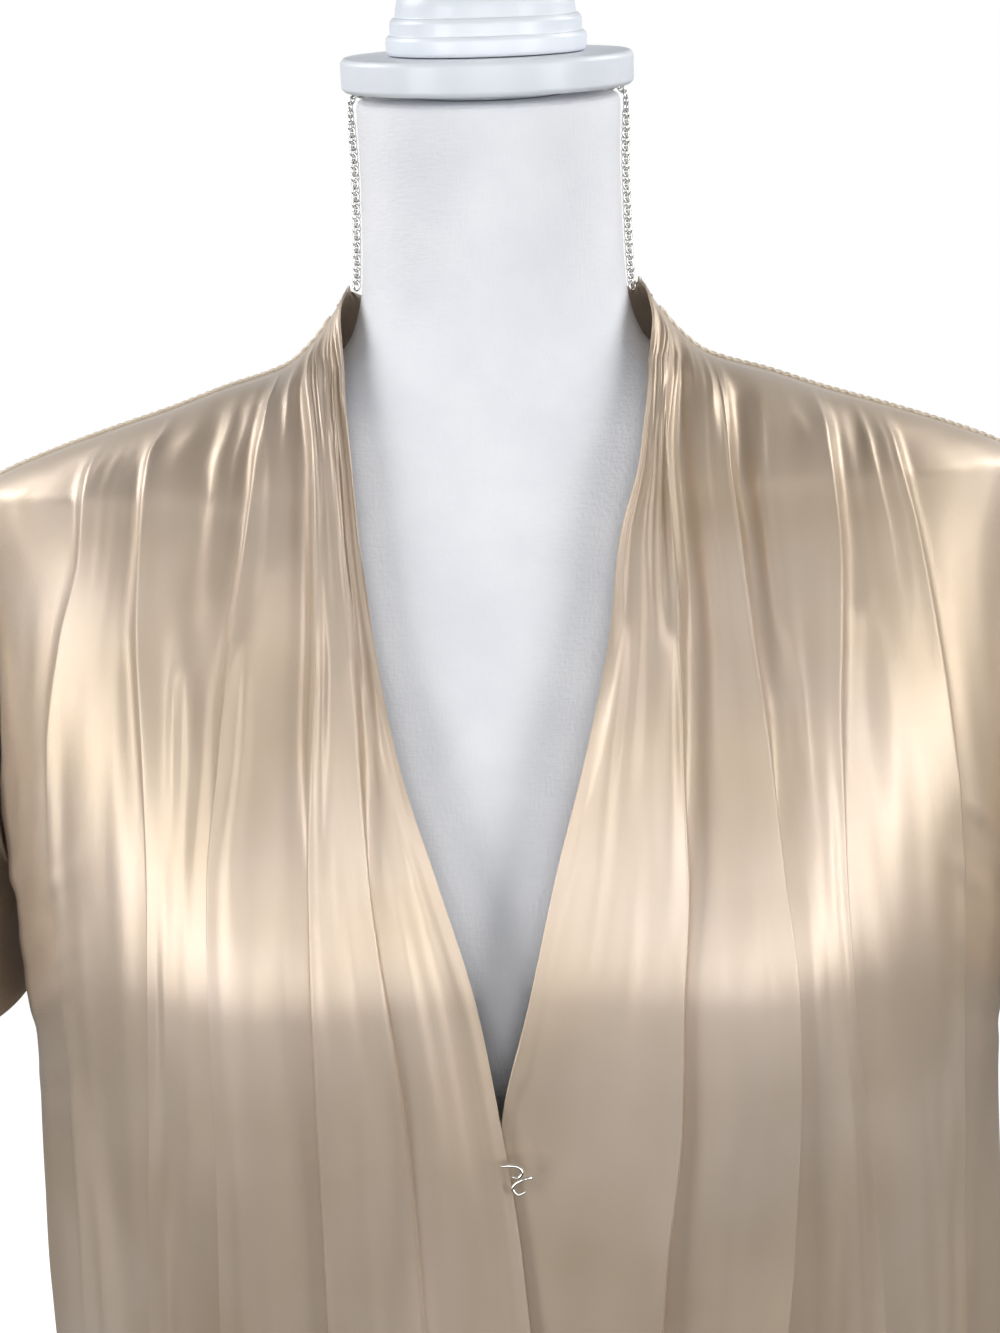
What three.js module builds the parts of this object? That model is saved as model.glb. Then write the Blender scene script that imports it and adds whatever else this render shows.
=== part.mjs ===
// A satin bodysuit worn by a limbless dress form on a short counter stand.
// Millimetres, +Z up, the front faces -Y and +X is the wearer's left.
// The origin is the centre of the stand's underside.
import * as THREE from "three";

// ---------- driving dimensions ----------
const CLOTH = 1.2; // wall of every cloth piece
const SEAM_GAP = 0.4; // air between two pieces that are sewn together
const HEM_Z = 421; // where the satin top is sewn to the brief
const UNDERARM_Z = 690;
const TIP_Z = 839; // end of the shoulder seam
const ARMHOLE = { front: 46, back: 40 }; // how far the armhole dips from the side
const FORM_BOTTOM = 215;
const NECK_TOP = { y: -5.5, z: 983, tilt: THREE.MathUtils.degToRad(8) };
const TAB_END = 150; // lower end of the open crotch tabs

const SATIN = new THREE.MeshStandardMaterial({ color: 0xcdb99b, roughness: 0.38, metalness: 0.15 });
const KNIT = new THREE.MeshStandardMaterial({ color: 0xc9b596, roughness: 0.7, metalness: 0 });
const LINEN = new THREE.MeshStandardMaterial({ color: 0xe8e9ec, roughness: 0.9, metalness: 0 });
const PAINT = new THREE.MeshStandardMaterial({ color: 0xeff1f4, roughness: 0.5, metalness: 0 });
const SILVER = new THREE.MeshStandardMaterial({ color: 0xc9c9c6, roughness: 0.25, metalness: 1 });

// ---------- level sections: half width, depth to front and back, squareness ----------
const FORM = [
  { z: FORM_BOTTOM, half: 154, front: 85, back: 96, square: 2.3 },
  { z: 223, half: 160, front: 90, back: 101, square: 2.3 },
  { z: 260, half: 163, front: 94, back: 110, square: 2.3 },
  { z: 310, half: 166, front: 99, back: 118, square: 2.3 },
  { z: 350, half: 163, front: 100, back: 116, square: 2.25 },
  { z: 400, half: 150, front: 95, back: 104, square: 2.2 },
  { z: 450, half: 132, front: 87, back: 92, square: 2.15 },
  { z: 500, half: 117, front: 81, back: 82, square: 2.1 },
  { z: 550, half: 121, front: 87, back: 86, square: 2.15 },
  { z: 600, half: 132, front: 97, back: 94, square: 2.2 },
  { z: 640, half: 141, front: 106, back: 99, square: 2.25 },
  { z: 665, half: 146, front: 110, back: 102, square: 2.25 },
  { z: 700, half: 152, front: 108, back: 104, square: 2.3 },
  { z: 740, half: 159, front: 101, back: 105, square: 2.4 },
  { z: 780, half: 169, front: 90, back: 101, square: 2.5 },
  { z: 810, half: 179, front: 80, back: 94, square: 2.5 },
  { z: 828, half: 184, front: 73, back: 88, square: 2.3 },
  { z: 838, half: 183, front: 69, back: 83, square: 2.1 },
  { z: 847, half: 172, front: 65.5, back: 78, square: 2 },
  { z: 855, half: 154, front: 62.5, back: 73, square: 2 },
  { z: 862, half: 132, front: 60.5, back: 68, square: 2 },
  { z: 870, half: 105, front: 57.5, back: 63, square: 2 },
  { z: 877, half: 83, front: 55, back: 58, square: 2 },
  { z: 884, half: 67, front: 53, back: 54, square: 2 },
  { z: 892, half: 57.5, front: 51.5, back: 50.5, square: 2 },
  { z: 903, half: 53, front: 50.8, back: 48.8, square: 2 },
  { z: 914, half: 51, front: 51, back: 47.5, square: 2 },
  { z: 932, half: 50.2, front: 52.5, back: 46, square: 2 },
  { z: 958, half: 49.8, front: 54.5, back: 45, square: 2 },
  { z: 979, half: 50.4, front: 56.5, back: 45.5, square: 2 },
  { z: 982, half: 49.7, front: 55.7, back: 44.7, square: 2 },
  { z: 983, half: 48.2, front: 54.2, back: 43.2, square: 2 },
];
const TOP = [
  { z: HEM_Z, half: 149.5, front: 98, back: 103.5, square: 2.2 },
  { z: 432, half: 168, front: 108, back: 109, square: 2.25 },
  { z: 450, half: 186, front: 117, back: 111, square: 2.35 },
  { z: 475, half: 196, front: 121, back: 111, square: 2.4 },
  { z: 520, half: 197, front: 122, back: 111, square: 2.4 },
  { z: 560, half: 196, front: 123, back: 111, square: 2.4 },
  { z: 612, half: 195, front: 125, back: 112, square: 2.4 },
  { z: 665, half: 199, front: 126, back: 114, square: 2.4 },
  { z: 710, half: 202.5, front: 121, back: 115, square: 2.4 },
  { z: 750, half: 205, front: 113, back: 114, square: 2.35 },
  { z: 790, half: 207, front: 99, back: 109, square: 2.3 },
  { z: 820, half: 208, front: 87, back: 101, square: 2.2 },
  { z: 839, half: 206, front: 78, back: 92, square: 2.1 },
  { z: 845, half: 197, front: 75.5, back: 88, square: 2.05 },
  { z: 853, half: 177, front: 72, back: 83, square: 2 },
  { z: 861, half: 153, front: 68.5, back: 78, square: 2 },
  { z: 869, half: 127, front: 65.5, back: 72.5, square: 2 },
  { z: 876, half: 107, front: 62.5, back: 67, square: 2 },
  { z: 884, half: 82, front: 59.5, back: 61, square: 2 },
  { z: 893, half: 71, front: 57, back: 57, square: 2 },
  { z: 904, half: 62.5, front: 55.5, back: 55, square: 2 },
  { z: 914, half: 56.5, front: 54.5, back: 55, square: 2 },
];
const BRIEF = [
  { z: TAB_END, half: 162, front: 92, back: 102, square: 2.3 },
  { z: 215, half: 164, front: 94.5, back: 105.5, square: 2.3 },
  { z: 260, half: 167.5, front: 98.5, back: 114.5, square: 2.3 },
  { z: 310, half: 170.5, front: 103.5, back: 122.5, square: 2.3 },
  { z: 350, half: 170.5, front: 107, back: 122.5, square: 2.25 },
  { z: 400, half: 155, front: 99.5, back: 109.5, square: 2.2 },
  { z: HEM_Z, half: 149.5, front: 98, back: 103.5, square: 2.2 },
];
// Bust shape added to the front: height, half spacing, spread across, up and down.
const FORM_BUST = { lift: 32, x: 92, z: 665, across: 46, up: 60, down: 46 };
const TOP_BUST = { lift: 20, x: 92, z: 665, across: 58, up: 75, down: 190 };
const NO_BUST = { lift: 0, x: 1, z: 0, across: 1, up: 1, down: 1 };

// ---------- folds: distance from the centre line, and depth, at these heights ----------
const LEVELS = [850, 820, 790, 750, 710, 665, 620, 570, 520, 425];
// seam: where the fold starts on the shoulder seam. facing: +1 if its edge faces the armhole.
const RIGHT_EDGE = { seam: 57.2, at: [53, 50.5, 46.5, 39, 27, 14.5, 7.5, 1.5, -2, -6] };
const RIGHT_FOLDS = [
  { seam: 62, facing: -1, at: [58, 56, 53.5, 52, 50, 45, 41, 39, 38, 37],
    depth: [3, 4, 4.5, 4.5, 3.5, 2.5, 2, 1.5, 1.5, 1] },
  { seam: 70, facing: 1, at: [66, 66, 67, 69.5, 71.5, 72, 72, 72, 72, 71],
    depth: [4, 4.5, 4.5, 4.5, 5, 5, 4.5, 4.5, 4.5, 2] },
  { seam: 84, facing: 1, at: [88, 92, 97, 101, 105.5, 106.5, 107.5, 109.5, 111.5, 112],
    depth: [6.5, 6.5, 5.5, 4.5, 5, 5, 5, 5.5, 6, 2] },
  { seam: 124, facing: 1, at: [128.5, 130.5, 132, 130.5, 129.5, 131, 134, 138, 141, 140],
    depth: [4, 4, 4, 3.5, 3, 2.5, 3, 3.5, 4, 2] },
  { seam: 150, facing: 1, at: [153.5, 155, 162.5, 169, 171, 170, 169, 169, 170, 166],
    depth: [3, 4, 4, 3.5, 2.5, 2, 2.5, 3, 3, 1.5] },
];
const LEFT_EDGE = { seam: 57.2, at: [50, 41, 36.5, 26.5, 15, 4, -7, -12, -14, -14] };
const LEFT_FOLDS = [
  { seam: 64, facing: 1, at: [59, 59.5, 60.5, 60.5, 61.5, 59, 57.5, 52, 48.5, 46],
    depth: [6, 7.5, 8, 7.5, 6.5, 5.5, 5.5, 6, 6.5, 2] },
  { seam: 82, facing: 1, at: [82, 84, 86.5, 90.5, 93.5, 97, 97.5, 96, 92, 90],
    depth: [6, 6.5, 6, 5.5, 6, 6.5, 7, 7, 7.5, 2] },
  { seam: 121, facing: 1, at: [120, 121, 119.5, 117, 117, 119, 124, 129, 132, 132],
    depth: [4, 4.5, 4.5, 4, 3, 2.5, 3, 3.5, 4, 2] },
  { seam: 147, facing: 1, at: [147, 151.5, 155.5, 160, 164, 166, 167, 168, 169, 165],
    depth: [3.5, 4.5, 4.5, 4, 3, 2.5, 2.5, 3, 3, 1.5] },
];
// Soft vertical troughs of the back, one side: they are mirrored.
const BACK_FOLDS = [
  { seam: 66, facing: 1, at: [60, 55, 52, 50, 48, 46, 45, 44, 43, 42],
    depth: [1, 1.5, 2, 2.5, 3, 3, 3.5, 4, 4, 2] },
  { seam: 132, facing: 1, at: [130, 126, 122, 118, 114, 110, 108, 106, 105, 104],
    depth: [1, 1.5, 2, 2.5, 3, 3, 3.5, 4, 4, 2] },
];
// Half width of the brief below its side seam: the leg openings, then the crotch tab.
const LEG_FRONT = [
  { z: TAB_END, x: 32 }, { z: 215, x: 34 }, { z: 235, x: 39 }, { z: 260, x: 50 }, { z: 285, x: 72 },
  { z: 310, x: 103 }, { z: 323, x: 124 }, { z: 332, x: 139 }, { z: 338, x: 150 }, { z: 342.5, x: 160 },
];
const LEG_BACK = [
  { z: TAB_END, x: 32 }, { z: 215, x: 35 }, { z: 235, x: 46 }, { z: 260, x: 70 }, { z: 285, x: 102 },
  { z: 310, x: 133 }, { z: 323, x: 145 }, { z: 332, x: 152 }, { z: 338, x: 157 }, { z: 342.5, x: 162 },
];
const SIDE_END_Z = 345; // lower end of the brief's side seams

// ---------- small helpers ----------
// Smooth lookup in a table sorted by z, with no overshoot between its rows.
function lookup(rows, key, z) {
  const last = rows.length - 1;
  if (z <= rows[0].z) return rows[0][key];
  if (z >= rows[last].z) return rows[last][key];
  let i = 0;
  while (rows[i + 1].z < z) i++;
  const slope = (k) => (rows[k + 1][key] - rows[k][key]) / (rows[k + 1].z - rows[k].z);
  const tangent = (k) => {
    if (k === 0 || k === last) return 0;
    const [a, b] = [slope(k - 1), slope(k)];
    return a * b <= 0 ? 0 : (2 * a * b) / (a + b);
  };
  const step = rows[i + 1].z - rows[i].z;
  const t = (z - rows[i].z) / step;
  const [t2, t3] = [t * t, t * t * t];
  return (2 * t3 - 3 * t2 + 1) * rows[i][key] + (t3 - 2 * t2 + t) * step * tangent(i)
    + (3 * t2 - 2 * t3) * rows[i + 1][key] + (t3 - t2) * step * tangent(i + 1);
}

const power = (value, exponent) => Math.sign(value) * Math.abs(value) ** exponent;
// 0 before the first value and 1 past the second, whichever of them is larger.
function smooth(from, to, value) {
  if (from > to) return 1 - THREE.MathUtils.smoothstep(value, to, from);
  return THREE.MathUtils.smoothstep(value, from, to);
}

function bustLift(bust, x, z) {
  const across = (Math.abs(x) - bust.x) / bust.across;
  const along = (z - bust.z) / (z > bust.z ? bust.up : bust.down);
  return bust.lift * Math.exp(-across * across - along * along);
}

// Point of a body of level sections: turn 0 is the front, 90 degrees the wearer's left side.
function bodyPoint(rows, bust, turn, z) {
  const exponent = 2 / lookup(rows, "square", z);
  const c = Math.cos(turn);
  const x = lookup(rows, "half", z) * power(Math.sin(turn), exponent);
  const reach = lookup(rows, c > 0 ? "front" : "back", z);
  const lift = c > 0 ? bustLift(bust, x, z) * Math.sqrt(c) : 0;
  return new THREE.Vector3(x, -reach * power(c, exponent) - lift, z);
}

function bodyNormal(rows, bust, turn, z) {
  const [dTurn, dZ] = [0.004, 0.4];
  const along = bodyPoint(rows, bust, turn + dTurn, z).sub(bodyPoint(rows, bust, turn - dTurn, z));
  const up = bodyPoint(rows, bust, turn, z + dZ).sub(bodyPoint(rows, bust, turn, z - dZ));
  return along.cross(up).normalize();
}

// The turn at which a level section has this x, or this distance from the side.
const turnAtX = (rows, x, z) =>
  Math.asin(power(THREE.MathUtils.clamp(x / lookup(rows, "half", z), -1, 1), lookup(rows, "square", z) / 2));
function turnFromSide(rows, face, distance, z) {
  const share = distance / lookup(rows, face, z);
  return Math.acos(share ** (lookup(rows, "square", z) / 2));
}

// ---------- closed meshes ----------
const FAR = 1e4;
function box(minY, maxY, minZ, maxZ) {
  return new THREE.Box3(new THREE.Vector3(-FAR, minY, minZ), new THREE.Vector3(FAR, maxY, maxZ));
}
const EVERYWHERE = box(-FAR, FAR, -FAR, FAR);
const TOP_FRONT = box(-FAR, -SEAM_GAP / 2, HEM_Z, FAR);
const TOP_BACK = box(SEAM_GAP / 2, FAR, HEM_Z, FAR);
const BRIEF_FRONT = box(-FAR, -SEAM_GAP / 2, -FAR, HEM_Z - SEAM_GAP);
const BRIEF_BACK = box(SEAM_GAP / 2, FAR, -FAR, HEM_Z - SEAM_GAP);

function meshOf(positions, triangles) {
  let volume = 0;
  const [a, b, c] = [new THREE.Vector3(), new THREE.Vector3(), new THREE.Vector3()];
  for (let i = 0; i < triangles.length; i += 3) {
    a.fromArray(positions, 3 * triangles[i]);
    b.fromArray(positions, 3 * triangles[i + 1]);
    c.fromArray(positions, 3 * triangles[i + 2]);
    volume += a.dot(b.cross(c));
  }
  const geometry = new THREE.BufferGeometry();
  geometry.setAttribute("position", new THREE.Float32BufferAttribute(positions, 3));
  geometry.setIndex(volume < 0 ? triangles.slice().reverse() : triangles);
  geometry.computeVertexNormals();
  return geometry;
}

// A cloth wall: a grid of outer points, and the same grid moved inwards by the cloth's thickness.
// rows[i][j] are points. A wrapped grid joins its last column to its first.
// Every point is kept inside the box "within", which ends at the seams with the next pieces.
function clothWall(rows, { wrapped = false, inwards = 1, within = EVERYWHERE } = {}) {
  const [m, n] = [rows.length, rows[0].length];
  const column = (j) => (wrapped ? (j + n) % n : THREE.MathUtils.clamp(j, 0, n - 1));
  const row = (i) => THREE.MathUtils.clamp(i, 0, m - 1);
  const positions = [];
  for (const point of rows.flat()) positions.push(...within.clampPoint(point, new THREE.Vector3()).toArray());
  for (let i = 0; i < m; i++)
    for (let j = 0; j < n; j++) {
      const across = rows[i][column(j + 1)].clone().sub(rows[i][column(j - 1)]);
      const down = rows[row(i + 1)][j].clone().sub(rows[row(i - 1)][j]);
      const normal = across.cross(down).normalize();
      const inner = rows[i][j].clone().addScaledVector(normal, inwards * CLOTH);
      positions.push(...within.clampPoint(inner, inner).toArray());
    }
  const triangles = [];
  const quad = (p, q, r, s) => triangles.push(p, q, r, p, r, s);
  const outer = (i, j) => i * n + column(j);
  const inner = (i, j) => m * n + outer(i, j);
  const lastColumn = wrapped ? n : n - 1;
  for (let i = 0; i < m - 1; i++)
    for (let j = 0; j < lastColumn; j++) {
      quad(outer(i, j), outer(i, j + 1), outer(i + 1, j + 1), outer(i + 1, j));
      quad(inner(i, j), inner(i + 1, j), inner(i + 1, j + 1), inner(i, j + 1));
    }
  for (let j = 0; j < lastColumn; j++) {
    quad(outer(0, j), inner(0, j), inner(0, j + 1), outer(0, j + 1));
    quad(outer(m - 1, j), outer(m - 1, j + 1), inner(m - 1, j + 1), inner(m - 1, j));
  }
  if (!wrapped)
    for (let i = 0; i < m - 1; i++) {
      quad(outer(i, 0), outer(i + 1, 0), inner(i + 1, 0), inner(i, 0));
      quad(outer(i, n - 1), inner(i, n - 1), inner(i + 1, n - 1), outer(i + 1, n - 1));
    }
  return meshOf(positions, triangles);
}

// A solid through closed rings, with flat ends.
function ringSolid(rings) {
  const n = rings[0].length;
  const positions = rings.flat().flatMap((p) => p.toArray());
  const triangles = [];
  for (let i = 0; i < rings.length - 1; i++)
    for (let j = 0; j < n; j++) {
      const k = (j + 1) % n;
      triangles.push(i * n + j, i * n + k, (i + 1) * n + k, i * n + j, (i + 1) * n + k, (i + 1) * n + j);
    }
  for (const [i, turned] of [[0, true], [rings.length - 1, false]]) {
    const centre = rings[i].reduce((sum, p) => sum.add(p), new THREE.Vector3()).divideScalar(n);
    const tip = positions.push(...centre.toArray()) / 3 - 1;
    for (let j = 0; j < n; j++) {
      const [a, b] = [i * n + j, i * n + ((j + 1) % n)];
      triangles.push(...(turned ? [tip, b, a] : [tip, a, b]));
    }
  }
  return meshOf(positions, triangles);
}

const group = new THREE.Group();
function add(name, geometry, material, parent = group) {
  const mesh = new THREE.Mesh(geometry, material);
  mesh.name = name;
  parent.add(mesh);
  return mesh;
}

// ---------- satin top ----------
const ARMHOLE_MID = (TIP_Z + UNDERARM_Z) / 2;
const ARMHOLE_HALF = (TIP_Z - UNDERARM_Z) / 2;
const ARMHOLE_STEPS = 8;
const armholeZ = (k) => ARMHOLE_MID + ARMHOLE_HALF * Math.cos((Math.PI * k) / ARMHOLE_STEPS);
// Heights of the rows where they meet the armhole and the side seam.
const SIDE_ROWS = [
  ...Array.from({ length: ARMHOLE_STEPS + 1 }, (_, k) => armholeZ(k)),
  662, 635, 605, 570, 535, 500, 475, 455, 441, 430, HEM_Z,
];
// The share of the way from the shoulder seam to the hem, for each row.
const ROW_SHARES = SIDE_ROWS.map((z) => (TIP_Z - z) / (TIP_Z - HEM_Z));

// How far the edge of a front or back lies from the plane of the side seam.
function edgeFromSide(face, z) {
  const level = (z - ARMHOLE_MID) / ARMHOLE_HALF;
  const dip = Math.abs(level) < 1 ? ARMHOLE[face] * Math.sqrt(1 - level * level) : 0;
  return Math.max(SEAM_GAP / 2, dip);
}

// Height of the shoulder seam at a distance from the centre line.
const SHOULDER = TOP.filter((row) => row.z >= TIP_Z).map((row) => ({ z: row.half, height: row.z })).reverse();
const shoulderZ = (x) => lookup(SHOULDER, "height", x);

// A line's distance from the centre at a height, from its seam end and its level table.
function lineX(line, z) {
  const rows = LEVELS.map((level, i) => ({ z: level, x: line.at[i] })).reverse();
  const top = shoulderZ(line.seam);
  if (top > LEVELS[0] + 1) rows.push({ z: top, x: line.seam });
  return lookup(rows, "x", z);
}
function foldDepth(fold, z) {
  const rows = LEVELS.map((level, i) => ({ z: level, depth: fold.depth[i] })).reverse();
  const seamDepth = 0.35 * fold.depth[0];
  const top = shoulderZ(fold.seam);
  if (top > LEVELS[0] + 1) rows.push({ z: top, depth: seamDepth });
  return lookup(rows, "depth", z);
}

// Height of a pleat over the cloth's own level: it climbs to its edge, drops, and levels out.
const PLEAT = { climb: 24, recess: 11, edge: 2.2, crest: 0.85, trough: 0.55 };
function pleat(distance, depth) {
  const crest = PLEAT.crest * Math.exp(Math.min(0, distance) / PLEAT.climb);
  const trough = -PLEAT.trough * Math.exp(-Math.max(0, distance) / PLEAT.recess);
  const share = smooth(-PLEAT.edge, PLEAT.edge, distance);
  return depth * (crest + (trough - crest) * share);
}

const LAP = 1.9; // each front's shift in or out where the right one lies over the left
const COLUMN_SHARES = [0.1, 0.4, 0.7, 0.9]; // between two folds, closer together at their edges

// The points of a front. side is +1 for the wearer's left.
function frontRows(side, edge, folds, overlap) {
  const lines = [edge, ...folds];
  const columns = [[0, 0]];
  lines.forEach((_, k) => COLUMN_SHARES.forEach((share) => columns.push([k, share])));
  columns.push([lines.length - 1, 1]);
  const seamEnd = (k) => (k < lines.length ? lines[k].seam : lookup(TOP, "half", TIP_Z));
  return ROW_SHARES.map((rowShare) => columns.map(([k, share]) => {
    const top = shoulderZ(THREE.MathUtils.lerp(seamEnd(k), seamEnd(k + 1), share));
    const z = THREE.MathUtils.lerp(top, HEM_Z, rowShare);
    const outermost = turnFromSide(TOP, "front", edgeFromSide("front", z), z);
    const turnOf = (i) => {
      if (i >= lines.length) return outermost;
      return Math.min(outermost, turnAtX(TOP, lineX(lines[i], z), z));
    };
    // Every column leaves the shoulder seam straight down, then finds its place between two lines.
    const seamX = THREE.MathUtils.lerp(seamEnd(k), seamEnd(k + 1), share);
    const underSeam = Math.min(outermost, turnAtX(TOP, seamX, z));
    const between = THREE.MathUtils.lerp(turnOf(k), turnOf(k + 1), share);
    const settled = smooth(0.005, 0.06, rowShare);
    const turn = rowShare === 0 ? outermost : THREE.MathUtils.lerp(underSeam, between, settled);
    const point = bodyPoint(TOP, TOP_BUST, turn, z);
    const normal = bodyNormal(TOP, TOP_BUST, turn, z);
    const stretch = bodyPoint(TOP, TOP_BUST, turn + 0.01, z).distanceTo(point) / 0.01;
    let lift = folds.reduce((sum, fold, i) => {
      const distance = (turn - turnOf(i + 1)) * stretch;
      return sum + pleat(fold.facing * distance, foldDepth(fold, z));
    }, 0);
    lift *= rowShare === 0 ? 0.3 : smooth(0, 0.06, rowShare) * smooth(1, 0.93, rowShare);
    lift += overlap * smooth(45, 5, point.x) * smooth(660, 600, z);
    point.addScaledVector(normal, lift);
    point.x *= side;
    return point;
  }));
}
const frontRight = frontRows(-1, RIGHT_EDGE, RIGHT_FOLDS, LAP);
const frontLeft = frontRows(1, LEFT_EDGE, LEFT_FOLDS, -LAP);
add("front_right", clothWall(frontRight, { inwards: -1, within: TOP_FRONT }), SATIN);
add("front_left", clothWall(frontLeft, { within: TOP_FRONT }), SATIN);

// The back: one panel from side seam to side seam, with a shallow neckline at its top.
const NECKLINE = { seam: 57.2, drop: 14, columns: 5 };
function backRows() {
  const lines = [{ seam: NECKLINE.seam, at: [40, 30, 24, 20, 18, 17, 16, 16, 16, 16] }, ...BACK_FOLDS];
  const half = [];
  for (let j = 0; j < NECKLINE.columns; j++) half.push([-1, j / NECKLINE.columns]);
  half.push([0, 0]);
  for (let k = 0; k < lines.length; k++) for (const share of [0.3, 0.8]) half.push([k, share]);
  half.push([lines.length - 1, 1]);
  const columns = [
    ...half.slice(1).reverse().map(([k, share]) => [k, share, -1]),
    ...half.map(([k, share]) => [k, share, 1]),
  ];
  const seamEnd = (k) => (k < lines.length ? lines[k].seam : lookup(TOP, "half", TIP_Z));
  return ROW_SHARES.map((rowShare) => columns.map(([k, share, side]) => {
    const across = k < 0 ? share * seamEnd(0) : THREE.MathUtils.lerp(seamEnd(k), seamEnd(k + 1), share);
    const top = shoulderZ(Math.max(across, seamEnd(0)))
      - (k < 0 ? NECKLINE.drop * (1 - share * share) : 0);
    const z = THREE.MathUtils.lerp(top, HEM_Z, rowShare);
    const outermost = turnFromSide(TOP, "back", edgeFromSide("back", z), z);
    const turnOf = (i) => {
      if (i < 0) return 0;
      return i >= lines.length ? outermost : Math.min(outermost, turnAtX(TOP, lineX(lines[i], z), z));
    };
    let turn = THREE.MathUtils.lerp(turnOf(k), turnOf(k + 1), share);
    if (rowShare === 0 && k >= 0) turn = outermost;
    const around = Math.PI - side * turn;
    const point = bodyPoint(TOP, NO_BUST, around, z);
    const lift = BACK_FOLDS.reduce((sum, fold, i) => {
      const distance = (turn - turnOf(i + 1)) * lookup(TOP, "back", z);
      return sum + pleat(distance, foldDepth(fold, z));
    }, 0) * smooth(0, 0.1, rowShare) * smooth(1, 0.93, rowShare);
    return point.addScaledVector(bodyNormal(TOP, NO_BUST, around, z), lift);
  }));
}
add("back", clothWall(backRows(), { inwards: -1, within: TOP_BACK }), SATIN);

// ---------- sleeves: short tubes from the armhole to a level, flattened hem ----------
const SLEEVE = {
  rings: 8, hemZ: 633, hemX: 226, hemHalfX: 25, hemHalfY: 72, hemRise: 3, gap: 1.5, drop: 1,
};
const SLEEVE_STEPS = 2 * ARMHOLE_STEPS;
// around: 0 is the shoulder tip and the hem's outer side, a quarter turn is the front.
function armholePoint(around) {
  const face = Math.sin(around) >= 0 ? "front" : "back";
  const z = ARMHOLE_MID + ARMHOLE_HALF * Math.cos(around);
  const fromSide = Math.abs(Math.sin(around)) * ARMHOLE[face];
  const x = lookup(TOP, "half", z) * power(Math.sin(turnFromSide(TOP, face, fromSide, z)),
    2 / lookup(TOP, "square", z));
  const y = face === "front" ? -fromSide : fromSide;
  return new THREE.Vector3(x + SLEEVE.gap, y, z - SLEEVE.drop * smooth(0.2, -1, Math.cos(around)));
}
function sleevePoint(share, around) {
  const [s, c] = [Math.sin(around), Math.cos(around)];
  const start = armholePoint(around);
  const end = new THREE.Vector3(SLEEVE.hemX + SLEEVE.hemHalfX * power(c, 0.9),
    -SLEEVE.hemHalfY * power(s, 0.9), SLEEVE.hemZ + SLEEVE.hemRise * s);
  const leave = new THREE.Vector3(1, -0.3 * s, -0.25).multiplyScalar(46 + 34 * c);
  const arrive = new THREE.Vector3(0, 0, -1).multiplyScalar(105 + 55 * c);
  const [t2, t3] = [share * share, share * share * share];
  return start.multiplyScalar(2 * t3 - 3 * t2 + 1)
    .addScaledVector(leave, t3 - 2 * t2 + share)
    .addScaledVector(end, 3 * t2 - 2 * t3)
    .addScaledVector(arrive, t3 - t2);
}
function sleeveRows(side) {
  const rows = [];
  for (let i = 0; i <= SLEEVE.rings; i++) {
    const ring = [];
    for (let j = 0; j < SLEEVE_STEPS; j++) {
      const point = sleevePoint(i / SLEEVE.rings, (Math.PI * j) / ARMHOLE_STEPS);
      point.x *= side;
      ring.push(point);
    }
    rows.push(ring);
  }
  return rows;
}
add("sleeve_right", clothWall(sleeveRows(-1), { wrapped: true, inwards: -1 }), SATIN);
add("sleeve_left", clothWall(sleeveRows(1), { wrapped: true, inwards: 1 }), SATIN);

// ---------- brief, with its crotch tabs hanging open ----------
const BRIEF_ROWS = [
  HEM_Z - SEAM_GAP, 398, 372, SIDE_END_Z, 342.5, 338, 332, 323, 308, 288, 262, 236, 215, 180, TAB_END,
];
const BRIEF_COLUMNS = 16;
function briefRows(face, legs) {
  return BRIEF_ROWS.map((z) => {
    const atSeam = turnFromSide(BRIEF, face, SEAM_GAP / 2, z);
    const atLeg = turnAtX(BRIEF, lookup(legs, "x", z), z);
    const outermost = z >= SIDE_END_Z ? atSeam : Math.min(atSeam, atLeg);
    return Array.from({ length: BRIEF_COLUMNS + 1 }, (_, j) => {
      const turn = outermost * ((2 * j) / BRIEF_COLUMNS - 1);
      return bodyPoint(BRIEF, NO_BUST, face === "front" ? turn : Math.PI - turn, z);
    });
  });
}
add("brief_front", clothWall(briefRows("front", LEG_FRONT), { within: BRIEF_FRONT }), KNIT);
add("brief_back", clothWall(briefRows("back", LEG_BACK), { inwards: -1, within: BRIEF_BACK }), KNIT);

// Press studs: caps on the front tab's face, sockets on the back tab's inner face.
const STUD = { x: 19, z: 162, radius: 4.6, height: 1.8, dome: 0.5, gap: 0.8 };
function studGeometry() {
  const { radius, height, dome } = STUD;
  const profile = [[0, 0], [radius, 0], [radius, height * 0.5], [radius * 0.8, height - dome], [0, height]];
  return new THREE.LatheGeometry(profile.map(([r, h]) => new THREE.Vector2(r, h)), 16);
}
for (const k of [0, 1, 2]) {
  const x = (k - 1) * STUD.x;
  const cap = add(`snap_cap_${k + 1}`, studGeometry(), SILVER);
  cap.position.copy(bodyPoint(BRIEF, NO_BUST, turnAtX(BRIEF, x, STUD.z), STUD.z));
  cap.position.y -= STUD.gap;
  cap.rotation.x = Math.PI;
  const socket = add(`snap_socket_${k + 1}`, studGeometry(), SILVER);
  socket.position.copy(bodyPoint(BRIEF, NO_BUST, Math.PI - turnAtX(BRIEF, x, STUD.z), STUD.z));
  socket.position.y -= CLOTH + STUD.gap;
  socket.rotation.x = Math.PI;
}

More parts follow.
